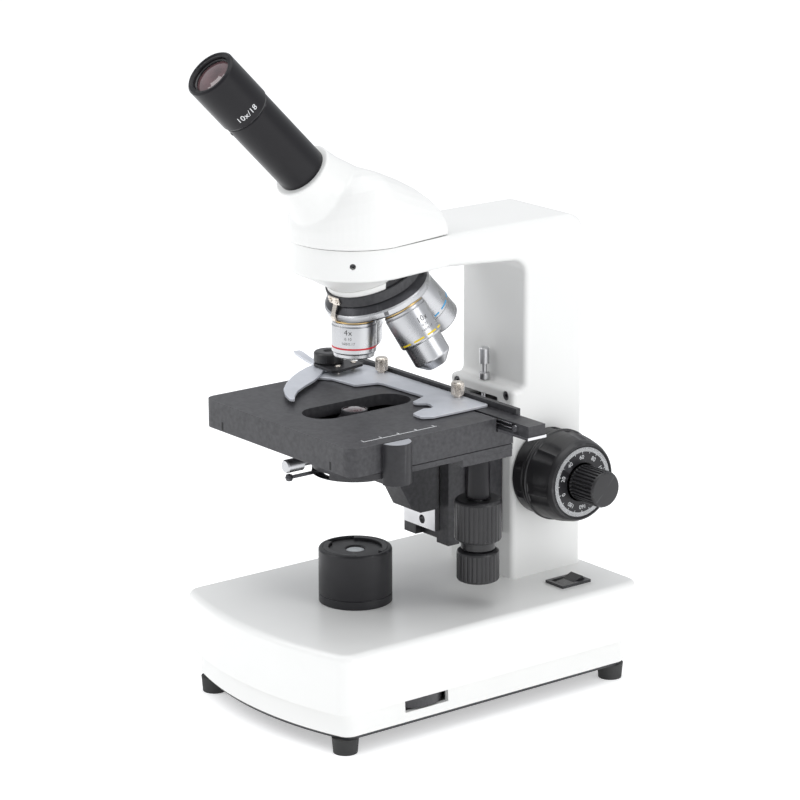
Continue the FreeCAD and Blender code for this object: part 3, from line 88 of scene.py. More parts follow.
def new_material(name, colour, roughness, metallic=0.0, **extra):
    """A Principled material and its node tree."""
    material = bpy.data.materials.new(name)
    material.use_nodes = True
    shader = material.node_tree.nodes["Principled BSDF"]
    shader.inputs["Base Color"].default_value = (*colour, 1)
    shader.inputs["Roughness"].default_value = roughness
    shader.inputs["Metallic"].default_value = metallic
    for socket, value in extra.items():
        shader.inputs[socket.replace("_", " ")].default_value = value
    return material


def noise_node(tree, scale, detail=3.0, stretch=(1, 1, 1)):
    """Noise in the object's own coordinates, in features per metre."""
    place = tree.nodes.new("ShaderNodeTexCoord")
    mapping = tree.nodes.new("ShaderNodeMapping")
    mapping.inputs["Scale"].default_value = stretch
    grain = tree.nodes.new("ShaderNodeTexNoise")
    grain.inputs["Scale"].default_value = scale
    grain.inputs["Detail"].default_value = detail
    tree.links.new(place.outputs["Object"], mapping.inputs["Vector"])
    tree.links.new(mapping.outputs["Vector"], grain.inputs["Vector"])
    return grain


def ramp(tree, source, low, high, start=0.35, end=0.65):
    """A colour ramp from low to high over a source's range."""
    node = tree.nodes.new("ShaderNodeValToRGB")
    node.color_ramp.elements[0].position = start
    node.color_ramp.elements[1].position = end
    node.color_ramp.elements[0].color = (*low, 1)
    node.color_ramp.elements[1].color = (*high, 1)
    tree.links.new(source, node.inputs["Fac"])
    return node


def grey(value):
    return (value, value, value)


def finish_material(name, colour, roughness, metallic=0.0, vary=0.06, vary_scale=25.0, rough_spread=0.06,
                    grain_scale=1500.0, grain_depth=0.02, stretch=(1, 1, 1), edge=None, dust=0.0, **extra):
    """A surface with slow colour drift, patchy roughness, fine grain, and optional worn edges and dust."""
    material = new_material(name, colour, roughness, metallic, **extra)
    tree = material.node_tree
    shader = tree.nodes["Principled BSDF"]
    drift = noise_node(tree, vary_scale, 5.0)
    low = [channel * (1 - vary) for channel in colour]
    high = [min(1.0, channel * (1 + vary)) for channel in colour]
    shade = ramp(tree, drift.outputs["Fac"], low, high)
    colour_out = shade.outputs["Color"]
    if edge is not None:
        geometry = tree.nodes.new("ShaderNodeNewGeometry")
        worn = ramp(tree, geometry.outputs["Pointiness"], grey(0), grey(1), 0.515, 0.58)
        breakup = noise_node(tree, 400.0, 4.0)
        amount = tree.nodes.new("ShaderNodeMath")
        amount.operation = "MULTIPLY"
        tree.links.new(worn.outputs["Color"], amount.inputs[0])
        tree.links.new(breakup.outputs["Fac"], amount.inputs[1])
        mix = tree.nodes.new("ShaderNodeMix")
        mix.data_type = "RGBA"
        mix.inputs["B"].default_value = (*edge, 1)
        tree.links.new(amount.outputs["Value"], mix.inputs["Factor"])
        tree.links.new(colour_out, mix.inputs["A"])
        colour_out = mix.outputs["Result"]
    if dust:
        geometry = tree.nodes.new("ShaderNodeNewGeometry")
        parts = tree.nodes.new("ShaderNodeSeparateXYZ")
        tree.links.new(geometry.outputs["Normal"], parts.inputs["Vector"])
        fleck = noise_node(tree, 180.0, 6.0)
        amount = tree.nodes.new("ShaderNodeMath")
        amount.operation = "MULTIPLY"
        amount.use_clamp = True
        tree.links.new(parts.outputs["Z"], amount.inputs[0])
        tree.links.new(fleck.outputs["Fac"], amount.inputs[1])
        faint = tree.nodes.new("ShaderNodeMath")
        faint.operation = "MULTIPLY"
        faint.inputs[1].default_value = dust
        tree.links.new(amount.outputs["Value"], faint.inputs[0])
        mix = tree.nodes.new("ShaderNodeMix")
        mix.data_type = "RGBA"
        mix.inputs["B"].default_value = (0.5, 0.49, 0.47, 1)
        tree.links.new(faint.outputs["Value"], mix.inputs["Factor"])
        tree.links.new(colour_out, mix.inputs["A"])
        colour_out = mix.outputs["Result"]
    tree.links.new(colour_out, shader.inputs["Base Color"])
    patches = noise_node(tree, vary_scale * 3, 4.0)
    rough = ramp(tree, patches.outputs["Fac"], grey(max(0.03, roughness - rough_spread)),
                 grey(min(1.0, roughness + rough_spread)), 0.3, 0.7)
    tree.links.new(rough.outputs["Color"], shader.inputs["Roughness"])
    grain = noise_node(tree, grain_scale, 2.0, stretch)
    bump = tree.nodes.new("ShaderNodeBump")
    bump.inputs["Strength"].default_value = 1.0
    bump.inputs["Distance"].default_value = grain_depth * MM
    tree.links.new(grain.outputs["Fac"], bump.inputs["Height"])
    tree.links.new(bump.outputs["Normal"], shader.inputs["Normal"])
    return material


WHITE = finish_material("white_enamel", (0.82, 0.82, 0.805), 0.36, vary=0.012, vary_scale=12, grain_scale=900,
                        grain_depth=0.012, rough_spread=0.05, Coat_Weight=0.25, Coat_Roughness=0.25)
CRINKLE = finish_material("crinkle_black", (0.02, 0.019, 0.022), 0.44, vary=0.05, vary_scale=60,
                          grain_scale=2600, grain_depth=0.010, rough_spread=0.03, edge=(0.08, 0.08, 0.085),
                          dust=0.012, Specular_IOR_Level=0.36)
SATIN = finish_material("satin_black", (0.016, 0.0155, 0.018), 0.4, vary=0.06, vary_scale=60,
                        grain_scale=2600, grain_depth=0.006, rough_spread=0.03, edge=(0.07, 0.07, 0.075),
                        dust=0.01, Specular_IOR_Level=0.36)
TURNED = finish_material("turned_black", (0.0095, 0.009, 0.011), 0.31, vary=0.06, grain_scale=700,
                         grain_depth=0.005, stretch=(0.05, 0.05, 6), rough_spread=0.03,
                         edge=(0.07, 0.07, 0.075), Specular_IOR_Level=0.26)
PLASTIC = finish_material("black_plastic", (0.015, 0.0145, 0.016), 0.35, vary=0.06, vary_scale=60,
                          grain_scale=3200, grain_depth=0.006, rough_spread=0.04, edge=(0.06, 0.06, 0.065),
                          dust=0.01)
GLOSS = finish_material("gloss_black", (0.02, 0.02, 0.022), 0.22, vary=0.1, grain_scale=900,
                        grain_depth=0.004)
RUBBER = finish_material("black_rubber", (0.03, 0.03, 0.03), 0.75, vary=0.25, grain_scale=1400,
                         grain_depth=0.06, dust=0.1)
CHROME = finish_material("satin_chrome", (0.54, 0.545, 0.56), 0.28, 1.0, vary=0.03, grain_scale=500,
                         grain_depth=0.008, stretch=(0.04, 0.04, 8), rough_spread=0.05)
BRIGHT = finish_material("bright_chrome", (0.7, 0.7, 0.72), 0.12, 1.0, vary=0.03, grain_scale=300,
                         grain_depth=0.002, rough_spread=0.03)
NICKEL = finish_material("nickel", (0.74, 0.68, 0.61), 0.24, 1.0, vary=0.08, vary_scale=300, grain_scale=900,
                         grain_depth=0.006, rough_spread=0.08)
SILVER = finish_material("silver_plate", (0.66, 0.68, 0.73), 0.4, 0.4, vary=0.05, vary_scale=60,
                         grain_scale=2500, grain_depth=0.01, rough_spread=0.08, edge=(0.8, 0.8, 0.82))
STEEL = finish_material("brushed_steel", (0.62, 0.62, 0.63), 0.33, 1.0, vary=0.06, grain_scale=1200,
                        grain_depth=0.01, stretch=(0.05, 1, 1), rough_spread=0.08)
GUNMETAL = finish_material("black_chrome", (0.05, 0.05, 0.056), 0.3, 0.6, vary=0.08, grain_scale=700,
                           grain_depth=0.004, rough_spread=0.04, edge=(0.2, 0.2, 0.21))
BRASS = finish_material("brass", (0.62, 0.44, 0.2), 0.3, 1.0, vary=0.1, grain_scale=900, grain_depth=0.01)
INK_WHITE = finish_material("engraved_white", (0.75, 0.76, 0.77), 0.55, vary=0.08, vary_scale=800,
                            grain_scale=3000, grain_depth=0.01)
INK_BLACK = finish_material("printed_black", (0.03, 0.03, 0.03), 0.5, vary=0.1, vary_scale=800,
                            grain_scale=3000, grain_depth=0.005)
INK_RED = finish_material("ring_red", (0.62, 0.02, 0.035), 0.4, vary=0.08, grain_scale=2000,
                          grain_depth=0.006)
INK_YELLOW = finish_material("ring_yellow", (0.75, 0.55, 0.02), 0.4, vary=0.08, grain_scale=2000,
                             grain_depth=0.006)
INK_BLUE = finish_material("ring_blue", (0.05, 0.36, 0.68), 0.4, vary=0.08, grain_scale=2000,
                           grain_depth=0.006)
# Near-black finish: the set screw's own black, and painted shade for the slots in the finger cap and the
# stage front, which are drawn as dark strips rather than cut recesses.
SCREW_BLACK_AND_SLOT_SHADE = finish_material("screw_black_and_painted_slot_shade", (0.006, 0.006, 0.007), 0.7, vary=0.2, grain_scale=900,
                            grain_depth=0.02)
BOARD = finish_material("circuit_green", (0.03, 0.18, 0.07), 0.4, vary=0.2, vary_scale=200, grain_scale=1200,
                        grain_depth=0.02)
CERAMIC = finish_material("glazed_ceramic", (0.75, 0.73, 0.68), 0.2, vary=0.04, grain_scale=400,
                          grain_depth=0.01)
VERNIER = finish_material("vernier_grey", (0.4, 0.41, 0.44), 0.42, 0.2, vary=0.05, grain_scale=2400,
                          grain_depth=0.006)
FROST = finish_material("frosted_window", (0.72, 0.75, 0.77), 0.35, vary=0.05, vary_scale=400,
                        grain_scale=2500, grain_depth=0.01)
LENS = finish_material("coated_lens", (0.09, 0.045, 0.05), 0.05, vary=0.3, vary_scale=120, grain_scale=200,
                       grain_depth=0.001, rough_spread=0.02, Coat_Weight=1.0, Coat_Roughness=0.03)

SLOT_FINISH = {
    "white_enamel": WHITE, "dark_sheet": SATIN, "black_rubber": RUBBER, "crinkle_black": CRINKLE,
    "satin_black": SATIN, "black_plastic": PLASTIC, "gloss_black": GLOSS, "chrome": CHROME,
    "satin_steel": STEEL, "brass": BRASS, "optical_glass": LENS, "frosted_glass": FROST,
    "ceramic": CERAMIC, "transformer_core": SATIN, "green_board": BOARD,
}


# ---------------------------------------------------------------- shape helpers

def soften(points, radius, closed=False, steps=4):
    """A polyline whose corners are turned into arcs of about the radius."""
    count = len(points)
    result = []
    for i, point in enumerate(points):
        p = Vector(point)
        if not closed and i in (0, count - 1):
            result.append(p)
            continue
        before, after = Vector(points[i - 1]) - p, Vector(points[(i + 1) % count]) - p
        turn = before.angle(after, 0)
        if turn > math.pi - 0.05 or min(before.length, after.length) < 1e-6:
            result.append(p)
            continue
        reach = min(radius / max(math.tan(turn / 2), 0.05), before.length * 0.45, after.length * 0.45)
        start, end = p + before.normalized() * reach, p + after.normalized() * reach
        for step in range(steps + 1):
            share = step / steps
            result.append(start * (1 - share) ** 2 + p * 2 * share * (1 - share) + end * share ** 2)
    return result


def make_object(name, mesh_builder, matrix=None, sharp=35):
    """A smooth-shaded mesh object from a bmesh that is drawn in millimetres."""
    mesh = bpy.data.meshes.new(name)
    bmesh.ops.recalc_face_normals(mesh_builder, faces=mesh_builder.faces)
    bmesh.ops.scale(mesh_builder, vec=(MM, MM, MM), verts=mesh_builder.verts)
    mesh_builder.to_mesh(mesh)
    mesh_builder.free()
    mesh.shade_smooth()
    mesh.set_sharp_from_angle(angle=math.radians(sharp))
    item = bpy.data.objects.new(name, mesh)
    bpy.context.scene.collection.objects.link(item)
    if matrix is not None:
        item.matrix_world = matrix
    return item


def add_lathe(builder, profile, segments=96, flutes=None):
    """Revolve (radius, height) points about Z. flutes = (pattern, repeats, low, high, least radius)."""
    pattern = [0.0]
    if flutes:
        pattern, repeats, low, high, least = flutes
        segments = len(pattern) * repeats
    rings = []
    for radius, height in profile:
        if radius < 1e-6:
            rings.append([builder.verts.new((0, 0, height))])
            continue
        ring = []
        for i in range(segments):
            here = radius
            if flutes and low <= height <= high and radius >= least:
                here -= pattern[i % len(pattern)]
            angle = 2 * math.pi * i / segments
            ring.append(builder.verts.new((here * math.cos(angle), here * math.sin(angle), height)))
        rings.append(ring)
    for first, second in zip(rings, rings[1:]):
        for i in range(segments):
            j = (i + 1) % segments
            corners = [first[i % len(first)], first[j % len(first)],
                       second[j % len(second)], second[i % len(second)]]
            unique = list(dict.fromkeys(corners))
            if len(unique) > 2:
                builder.faces.new(unique)


def lathe(name, profile, matrix, round_by=0.35, segments=96, flutes=None, sharp=35, closed=False):
    """A turned piece with softened corners."""
    builder = bmesh.new()
    points = soften([Vector((r, h)) for r, h in profile], round_by, closed)
    if closed:
        points.append(points[0])
    add_lathe(builder, [(p.x, p.y) for p in points], segments, flutes)
    if closed:
        bmesh.ops.remove_doubles(builder, verts=builder.verts, dist=1e-5)
    return make_object(name, builder, matrix, sharp)


def slab(name, outline, low, high, matrix=None, bevel=0.2, corner=0.0, holes=(), segments=3):
    """A plate cut to an outline in millimetres, with rounded corners and bevelled edges."""
    builder = bmesh.new()
    loops = [soften([Vector(p) for p in outline], corner, True,
                    6) if corner else [Vector(p) for p in outline]]
    loops += [[Vector(p) for p in hole] for hole in holes]
    edges = []
    for loop in loops:
        verts = [builder.verts.new((p.x, p.y, low)) for p in loop]
        edges += [builder.edges.new((verts[i], verts[(i + 1) % len(verts)])) for i in range(len(verts))]
    bmesh.ops.triangle_fill(builder, use_beauty=True, use_dissolve=not holes, edges=edges)
    faces = list(builder.faces)
    grown = bmesh.ops.extrude_face_region(builder, geom=faces)
    lifted = [v for v in grown["geom"] if isinstance(v, bmesh.types.BMVert)]
    bmesh.ops.translate(builder, verts=lifted, vec=(0, 0, high - low))
    item = make_object(name, builder, matrix, 30)
    if bevel:
        add_bevel(item, bevel, segments)
    return item


def add_bevel(item, width, segments=3, angle=40):
    """Bevel the sharp edges."""
    modifier = item.modifiers.new("bevel", "BEVEL")
    modifier.width = width * MM
    modifier.segments = segments
    modifier.limit_method = "ANGLE"
    modifier.angle_limit = math.radians(angle)
    modifier.harden_normals = False


def block(name, low, high, matrix=None, bevel=0.3):
    """A bevelled box from corner to corner."""
    outline = [(low[0], low[1]), (high[0], low[1]), (high[0], high[1]), (low[0], high[1])]
    return slab(name, outline, low[2], high[2], matrix, bevel)


def circle(x, y, radius, count=48):
    return [(x + radius * math.cos(2 * math.pi * i / count), y + radius * math.sin(2 * math.pi * i / count))
            for i in range(count)]


def settle(item, material, body, nodes=()):
    """Give a piece its finish, its body and the CAD nodes that it stands for."""
    item.data.materials.clear()
    item.data.materials.append(material)
    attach(item, body)
    if nodes:
        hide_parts(*nodes)
    return item


def lettering(name, text, size, matrix, depth=0.04, spacing=1.0):
    """Raised or inked characters, centred on the matrix's origin."""
    curve = bpy.data.curves.new(name, "FONT")
    curve.body = text
    curve.size = size * MM
    curve.extrude = depth * MM
    curve.space_character = spacing
    curve.align_x = "CENTER"
    curve.align_y = "CENTER"
    item = bpy.data.objects.new(name, curve)
    bpy.context.scene.collection.objects.link(item)
    item.matrix_world = matrix
    bpy.context.view_layer.update()
    graph = bpy.context.evaluated_depsgraph_get()
    mesh = bpy.data.meshes.new_from_object(item.evaluated_get(graph))
    bpy.data.objects.remove(item)
    result = bpy.data.objects.new(name, mesh)
    bpy.context.scene.collection.objects.link(result)
    result.matrix_world = matrix
    return result


def wrap(item, radius):
    """Bend a flat piece in its own XY plane round a cylinder whose axis runs along its Y."""
    for vertex in item.data.vertices:
        x, y, z = vertex.co
        reach = radius * MM + z
        vertex.co = (reach * math.sin(x / (radius * MM)), y, reach * math.cos(x / (radius * MM)))


CAD_FINISH = {"focus_rack": STEEL, "nosepiece_base": SATIN, "carriage_steel": BRIGHT, "iris_lever": GUNMETAL,
              "stand_screws": GUNMETAL}
for entry in frame["record"]["subparts"]:
    node = NODES[entry["node"]]
    node.data.materials.clear()
    node.data.materials.append(CAD_FINISH.get(entry["node"], SLOT_FINISH[entry["material_slot"]]))
    node.data.shade_smooth()
    node.data.set_sharp_from_angle(angle=math.radians(25))


# ---------------------------------------------------------------- head

def cast_blend(item, voxel, rounds, factor=0.5):
    """Turn overlapping closed shapes into one skin with cast fillets."""
    remesh = item.modifiers.new("skin", "REMESH")
    remesh.mode = "VOXEL"
    remesh.voxel_size = voxel * MM
    smooth = item.modifiers.new("fillets", "SMOOTH")
    smooth.factor = factor
    smooth.iterations = rounds
    bpy.context.view_layer.update()
    graph = bpy.context.evaluated_depsgraph_get()
    mesh = bpy.data.meshes.new_from_object(item.evaluated_get(graph))
    item.modifiers.clear()
    item.data = mesh
    mesh.shade_smooth()


def head_section():
    """The head's plan: round front, straight sides that converge to the back."""
    radius = 36.0
    half_back, back = 27.4, 45.2
    points = []
    for step in range(33):
        angle = math.pi + math.pi * step / 32
        points.append(Vector((radius * math.cos(angle), radius * math.sin(angle))))
    points += [Vector((half_back, back)), Vector((-half_back, back))]
    return soften(points, 4.0, True, 3)


def make_head():
    builder = bmesh.new()
    low = 266.45
    plan = head_section()
    ridge = [(-37, 290), (-30, 297), (-20, 303.5), (-10, 306.6), (-2, 306.4), (8, 303.4), (18, 299),
             (28, 293.6), (38, 286.4), (44, 279.8), (46, 276.8)]

    def ridge_height(y):
        for (y0, z0), (y1, z1) in zip(ridge, ridge[1:]):
            if y <= y1:
                share = max(0.0, (y - y0) / (y1 - y0))
                return z0 + (z1 - z0) * share
        return ridge[-1][1]

    centre = Vector((0, 2))
    layers = []
    shares = [1.0, 1.0, 0.985, 0.955, 0.90, 0.80, 0.65, 0.45, 0.22]
    lifts = [0.0, 0.32, 0.52, 0.68, 0.80, 0.895, 0.955, 0.99, 1.0]
    for share, lift in zip(shares, lifts):
        ring = []
        for p in plan:
            q = centre + (p - centre) * share
            crown = ridge_height(q.y)
            ring.append(builder.verts.new((q.x, q.y, low + (crown - low) * lift)))
        layers.append(ring)
    count = len(plan)
    for first, second in zip(layers, layers[1:]):
        for i in range(count):
            j = (i + 1) % count
            builder.faces.new((first[i], first[j], second[j], second[i]))
    builder.faces.new(layers[0][::-1])
    builder.faces.new(layers[-1])
    head = make_object("head_casting", builder, Matrix.Translation(at(0, 0, 0)))

    tube_frame = axis_frame(at(0, 0, TUBE_FOOT), TUBE_WAY)
    collar = lathe("head_collar_form", [(0, 12), (25.5, 12), (24.3, 20), (21.2, 30), (18.7, 38), (17.4, 45),
                                        (16.9, 48.9), (0, 48.9)], tube_frame, 0.6)
    bpy.ops.object.select_all(action="DESELECT")
    for item in (collar, head):
        item.select_set(True)
    bpy.context.view_layer.objects.active = head
    bpy.ops.object.join()
    # nothing of the collar may hang under the head's flat joint
    for vertex in head.data.vertices:
        vertex.co.z = max(vertex.co.z, low * MM)
    cast_blend(head, 0.62, 5)
    settle(head, WHITE, "head", ["head_shell"])


def make_tube():
    way = TUBE_WAY
    place = axis_frame(at(0, 0, TUBE_FOOT), way)
    tube = lathe("ocular_tube", [(13.0, 47.5), (13.75, 48.95), (13.75, 99.8), (13.3, 100.3), (11.9, 100.3),
                                 (11.9, 70)], place, 0.3, 128)
    settle(tube, TURNED, "head", ["eyepiece_tube"])
    ocular = lathe("ocular_barrel", [(11.4, 92), (13.5, 100.2), (13.7, 100.45), (14.35, 101.7),
                                     (14.35, 130.9), (13.4, 131.95), (12.6, 132.05), (11.9, 131.3),
                                     (11.3, 131.1), (11.0, 130.4), (11.0, 128), (10.2, 127.6), (10.2, 118)],
                   place, 0.3, 128)
    settle(ocular, TURNED, "head", ["eyepiece"])
    dome = [(0, 130.7)] + [(r, 130.7 - 0.022 * r * r) for r in (2, 4, 6, 8, 9.4, 10.8)] + [(10.2, 124)]
    eye = lathe("ocular_lens", dome, place, 0, 96)
    settle(eye, LENS, "head", ["eyepiece_lenses"])
    ring = lathe("ocular_lens_ring", [(10.9, 129.6), (10.9, 128.2), (10.3, 128.4), (10.3, 129.1)], place,
                 0.1, 96, closed=True)
    settle(ring, GLOSS, "head")
    screw = lathe("tube_set_screw", [(0, 13.3), (1.0, 13.3), (1.0, 13.95), (0.5, 14.0), (0.45, 13.6),
                                     (0, 13.6)], axis_frame(place @ Vector((0, 0, 0.096)),
                                                            place.to_3x3() @ Vector((-0.25, -0.968, 0))),
                  0.05, 24)
    settle(screw, SCREW_BLACK_AND_SLOT_SHADE, "head")
    outward = (place.to_3x3() @ Vector((0.93, -0.37, 0))).normalized()
    text = lettering("ocular_numbers", "10x/18", 4.6, Matrix.Identity(4), 0.03, 1.05)
    wrap(text, 14.36)
    side = way.cross(outward).normalized()
    turn = Matrix((side, way, side.cross(way))).transposed().to_4x4()
    text.matrix_world = Matrix.Translation(place @ Vector((0, 0, 0.1062))) @ turn
    settle(text, INK_WHITE, "head")


# ---------------------------------------------------------------- nosepiece

def objective_way(turn):
    axis = Vector((0, math.sin(LEAN), -math.cos(LEAN)))
    forward = Vector((0, -math.cos(LEAN), -math.sin(LEAN)))
    radial = forward * math.cos(turn) + Vector((1, 0, 0)) * math.sin(turn)
    return (axis * math.cos(LEAN) + radial * math.sin(LEAN)).normalized()


def turret_frame():
    axis = Vector((0, math.sin(LEAN), -math.cos(LEAN)))
    return axis_frame(APEX + axis * (SEAT * math.cos(LEAN)), axis, (1, 0, 0))


SHOULDER = [(0, 0.2), (11.5, 0.2), (12.0, 0.6), (12.0, 1.6), (11.7, 2.0), (12.35, 2.4)]
BARREL = 12.36                         # radius that the bands and the lettering lie on
LONG_BODY = [(12.35, 22.4), (11.9, 23.2), (11.8, 32.6), (11.3, 33.4)]

# node, place on the turret in degrees, profile, ring colour, ring level, power, aperture
OBJECTIVES = [
    ("objective_4x", 0, SHOULDER + [(12.35, 16.9), (12.1, 17.4), (11.4, 17.7), (11.3, 19.6), (10.9, 20.2),
                                    (7.0, 20.2), (6.4, 18.4)], INK_RED, 13.8, "4x", "0.10"),
    ("objective_10x", 90, SHOULDER + [(12.35, 19.4), (11.9, 20.2), (10.8, 20.6), (10.7, 31.4), (10.3, 32.2),
                                      (5.8, 36.6), (5.2, 37.0), (4.1, 37.0), (3.9, 35.6)],
     INK_YELLOW, 17.6, "10x", "0.25"),
    ("objective_40x", 180, SHOULDER + LONG_BODY + [(5.0, 38.1), (4.2, 38.5), (3.5, 38.5), (3.3, 37.4)],
     INK_BLUE, 20.2, "40x", "0.65"),
    ("objective_100x", -90, SHOULDER + LONG_BODY + [(4.6, 39.1), (3.9, 39.5), (3.1, 39.5), (2.9, 38.4)],
     INK_WHITE, 20.2, "100x", "1.25"),
]


def make_objectives():
    for node, turn, profile, ink, band, power, aperture in OBJECTIVES:
        way = objective_way(math.radians(turn))
        seat = APEX + way * SEAT
        angle = math.radians(turn)
        outward = Vector((math.sin(angle), -math.cos(angle), 0)) if turn else Vector((0.6, -0.8, 0))
        place = axis_frame(seat, way, outward)
        barrel = lathe(node + "_barrel", profile, place, 0.25, 128)
        settle(barrel, CHROME, "nosepiece", [node])
        arc_band(node + "_ring", BARREL, band, ink, place, turn)
        glass_at = profile[-1][1] - 0.2
        glass_radius = profile[-1][0]
        glass = lathe(node + "_glass", [(0, glass_at), (glass_radius * 0.6, glass_at - 0.1),
                                        (glass_radius + 0.1, glass_at - 0.5)], place, 0, 48)
        settle(glass, LENS, "nosepiece", ["objective_lenses"] if turn == 0 else [])
        lines = ((power, 4.4, band - 8.8), (aperture, 2.2, band - 5.3), ("160/0.17", 2.0, band - 2.6))
        for line, (words, size, offset) in enumerate(lines):
            label = lettering(f"{node}_text_{line}", words, size, Matrix.Identity(4), 0.03, 1.1)
            wrap(label, BARREL)
            up = -way
            out = place.to_3x3() @ Vector((1, 0, 0))
            side = up.cross(out).normalized()
            label.matrix_world = (Matrix.Translation(seat + way * (offset * MM))
                                  @ Matrix((side, up, side.cross(up))).transposed().to_4x4())
            settle(label, INK_BLACK, "nosepiece")


def arc_band(name, radius, height, ink, place, turn):
    """The coloured ring: a thin painted band, broken into dashes."""
    builder = bmesh.new()
    spans = [(-150, 118), (124, 128), (134, 150), (156, 206)] if turn == 0 else [
        (-100 + 40 * i, -100 + 40 * i + 30) for i in range(9)]
    for start, end in spans:
        steps = max(3, int((end - start) / 4))
        rows = []
        for level in (height, height + 1.0):
            row = []
            for i in range(steps + 1):
                angle = math.radians(start + (end - start) * i / steps)
                row.append([builder.verts.new((r * math.cos(angle), r * math.sin(angle), level))
                            for r in (radius - 0.3, radius + 0.02)])
            rows.append(row)
        for i in range(steps):
            a, b, c, d = rows[0][i], rows[0][i + 1], rows[1][i + 1], rows[1][i]
            builder.faces.new((a[1], b[1], c[1], d[1]))
            builder.faces.new((a[0], d[0], c[0], b[0]))
            builder.faces.new((a[0], b[0], b[1], a[1]))
            builder.faces.new((d[0], d[1], c[1], c[0]))
        for i in (0, steps):
            a, d = rows[0][i], rows[1][i]
            builder.faces.new((a[0], a[1], d[1], d[0]))
    item = make_object(name, builder, place)
    settle(item, ink, "nosepiece")


def make_turret():
    place = turret_frame()
    ring = lathe("turret_ring", [(4.1, -11.9), (20, -11.9), (28.4, -8.7), (29.3, -8.3), (30, -7.6),
                                 (30, -4.9), (29.5, -4.0), (28.5, -3.5), (12, 3.4), (6.5, 5.4), (4.1, 5.4)],
                 place, 0.2, 160)
    settle(ring, CHROME, "nosepiece", ["turret"])
    slope = lathe("turret_slope", [(19.5, -12), (25, -12), (25.4, -11.8), (29.15, -8.5), (29, -8.35),
                                   (19.5, -8.6)], place, 0.1, 160, closed=True)
    settle(slope, GUNMETAL, "nosepiece")
    for number in range(4):
        turned = place @ Matrix.Rotation(math.radians(30 + 90 * number), 4, "Z")
        notch = block(f"turret_notch_{number}", (29.3, -1.3, -7.6), (30.0, 1.3, -5.0), turned, 0.15)
        settle(notch, GUNMETAL, "nosepiece")
        way = objective_way(math.pi / 2 * number)
        seat = axis_frame(APEX + way * SEAT, way)
        boss = lathe(f"turret_boss_{number}", [(8.2, -5), (11.2, -5), (11.2, -0.9), (10.9, -0.5),
                                               (8.2, -0.5)], seat, 0.15, 96, closed=True)
        settle(boss, CHROME, "nosepiece")
        thread = lathe(f"turret_thread_{number}", [(9.6, -0.6), (11.5, -0.6), (11.5, 0.15), (9.6, 0.15)],
                       seat, 0.1, 96, closed=True)
        settle(thread, BRASS, "nosepiece")


def make_click_clip():
    """T-shaped leaf spring on the nosepiece's rim, with its two screws, bent out over the turret."""
    rim = 26.5
    axis = Vector((0, math.sin(LEAN), -math.cos(LEAN)))
    forward = Vector((0, -math.cos(LEAN), -math.sin(LEAN)))
    turn = math.radians(-3)
    outward = forward * math.cos(turn) + Vector((1, 0, 0)) * math.sin(turn)
    across = axis.cross(outward)
    origin = Matrix.Translation(APEX + axis * (SEAT * math.cos(LEAN)))
    face = origin @ Matrix((across, axis, outward)).transposed().to_4x4()
    foot = slab("click_clip_foot", [(-4.8, -17.9), (4.8, -17.9), (4.8, -14), (1.8, -13.6), (1.8, -12.6),
                                    (-1.8, -12.6), (-1.8, -13.6), (-4.8, -14)], rim, rim + 0.9, face, 0.12,
                0.4)
    settle(foot, NICKEL, "stand", ["click_clip"])
    side = origin @ Matrix((axis, outward, across)).transposed().to_4x4()
    stem = slab("click_clip_stem", [(-13.4, 26.5), (-13.4, 27.4), (-8, 31.4), (-4.8, 31.4), (-4.8, 30.5),
                                    (-7.9, 30.5), (-13, 26.5)], -1.7, 1.7, side, 0.12, 0.3)
    settle(stem, NICKEL, "stand")
    for number, offset in enumerate((-2.9, 2.9)):
        spot = axis_frame(face @ Vector((offset * MM, -16 * MM, (rim + 0.9) * MM)), outward, across)
        screw = lathe(f"click_clip_screw_{number}", [(0, -0.3), (1.25, -0.3), (1.25, 0.3), (0.9, 0.65),
                                                     (0.35, 0.7), (0.3, 0.35), (0, 0.35)], spot, 0.08, 32)
        settle(screw, NICKEL, "stand")


# ---------------------------------------------------------------- focus drive

def knob_pattern(repeats, lands, groove, ridge):
    """One repeat of a knob's outline: wide smooth land, then a group of shallow panels between ridges."""
    pattern = [0.0] * lands
    for _ in range(repeats):
        pattern += [groove * 0.6] + [groove] * 3 + [groove * 0.6] + [0.0] * ridge
    return pattern


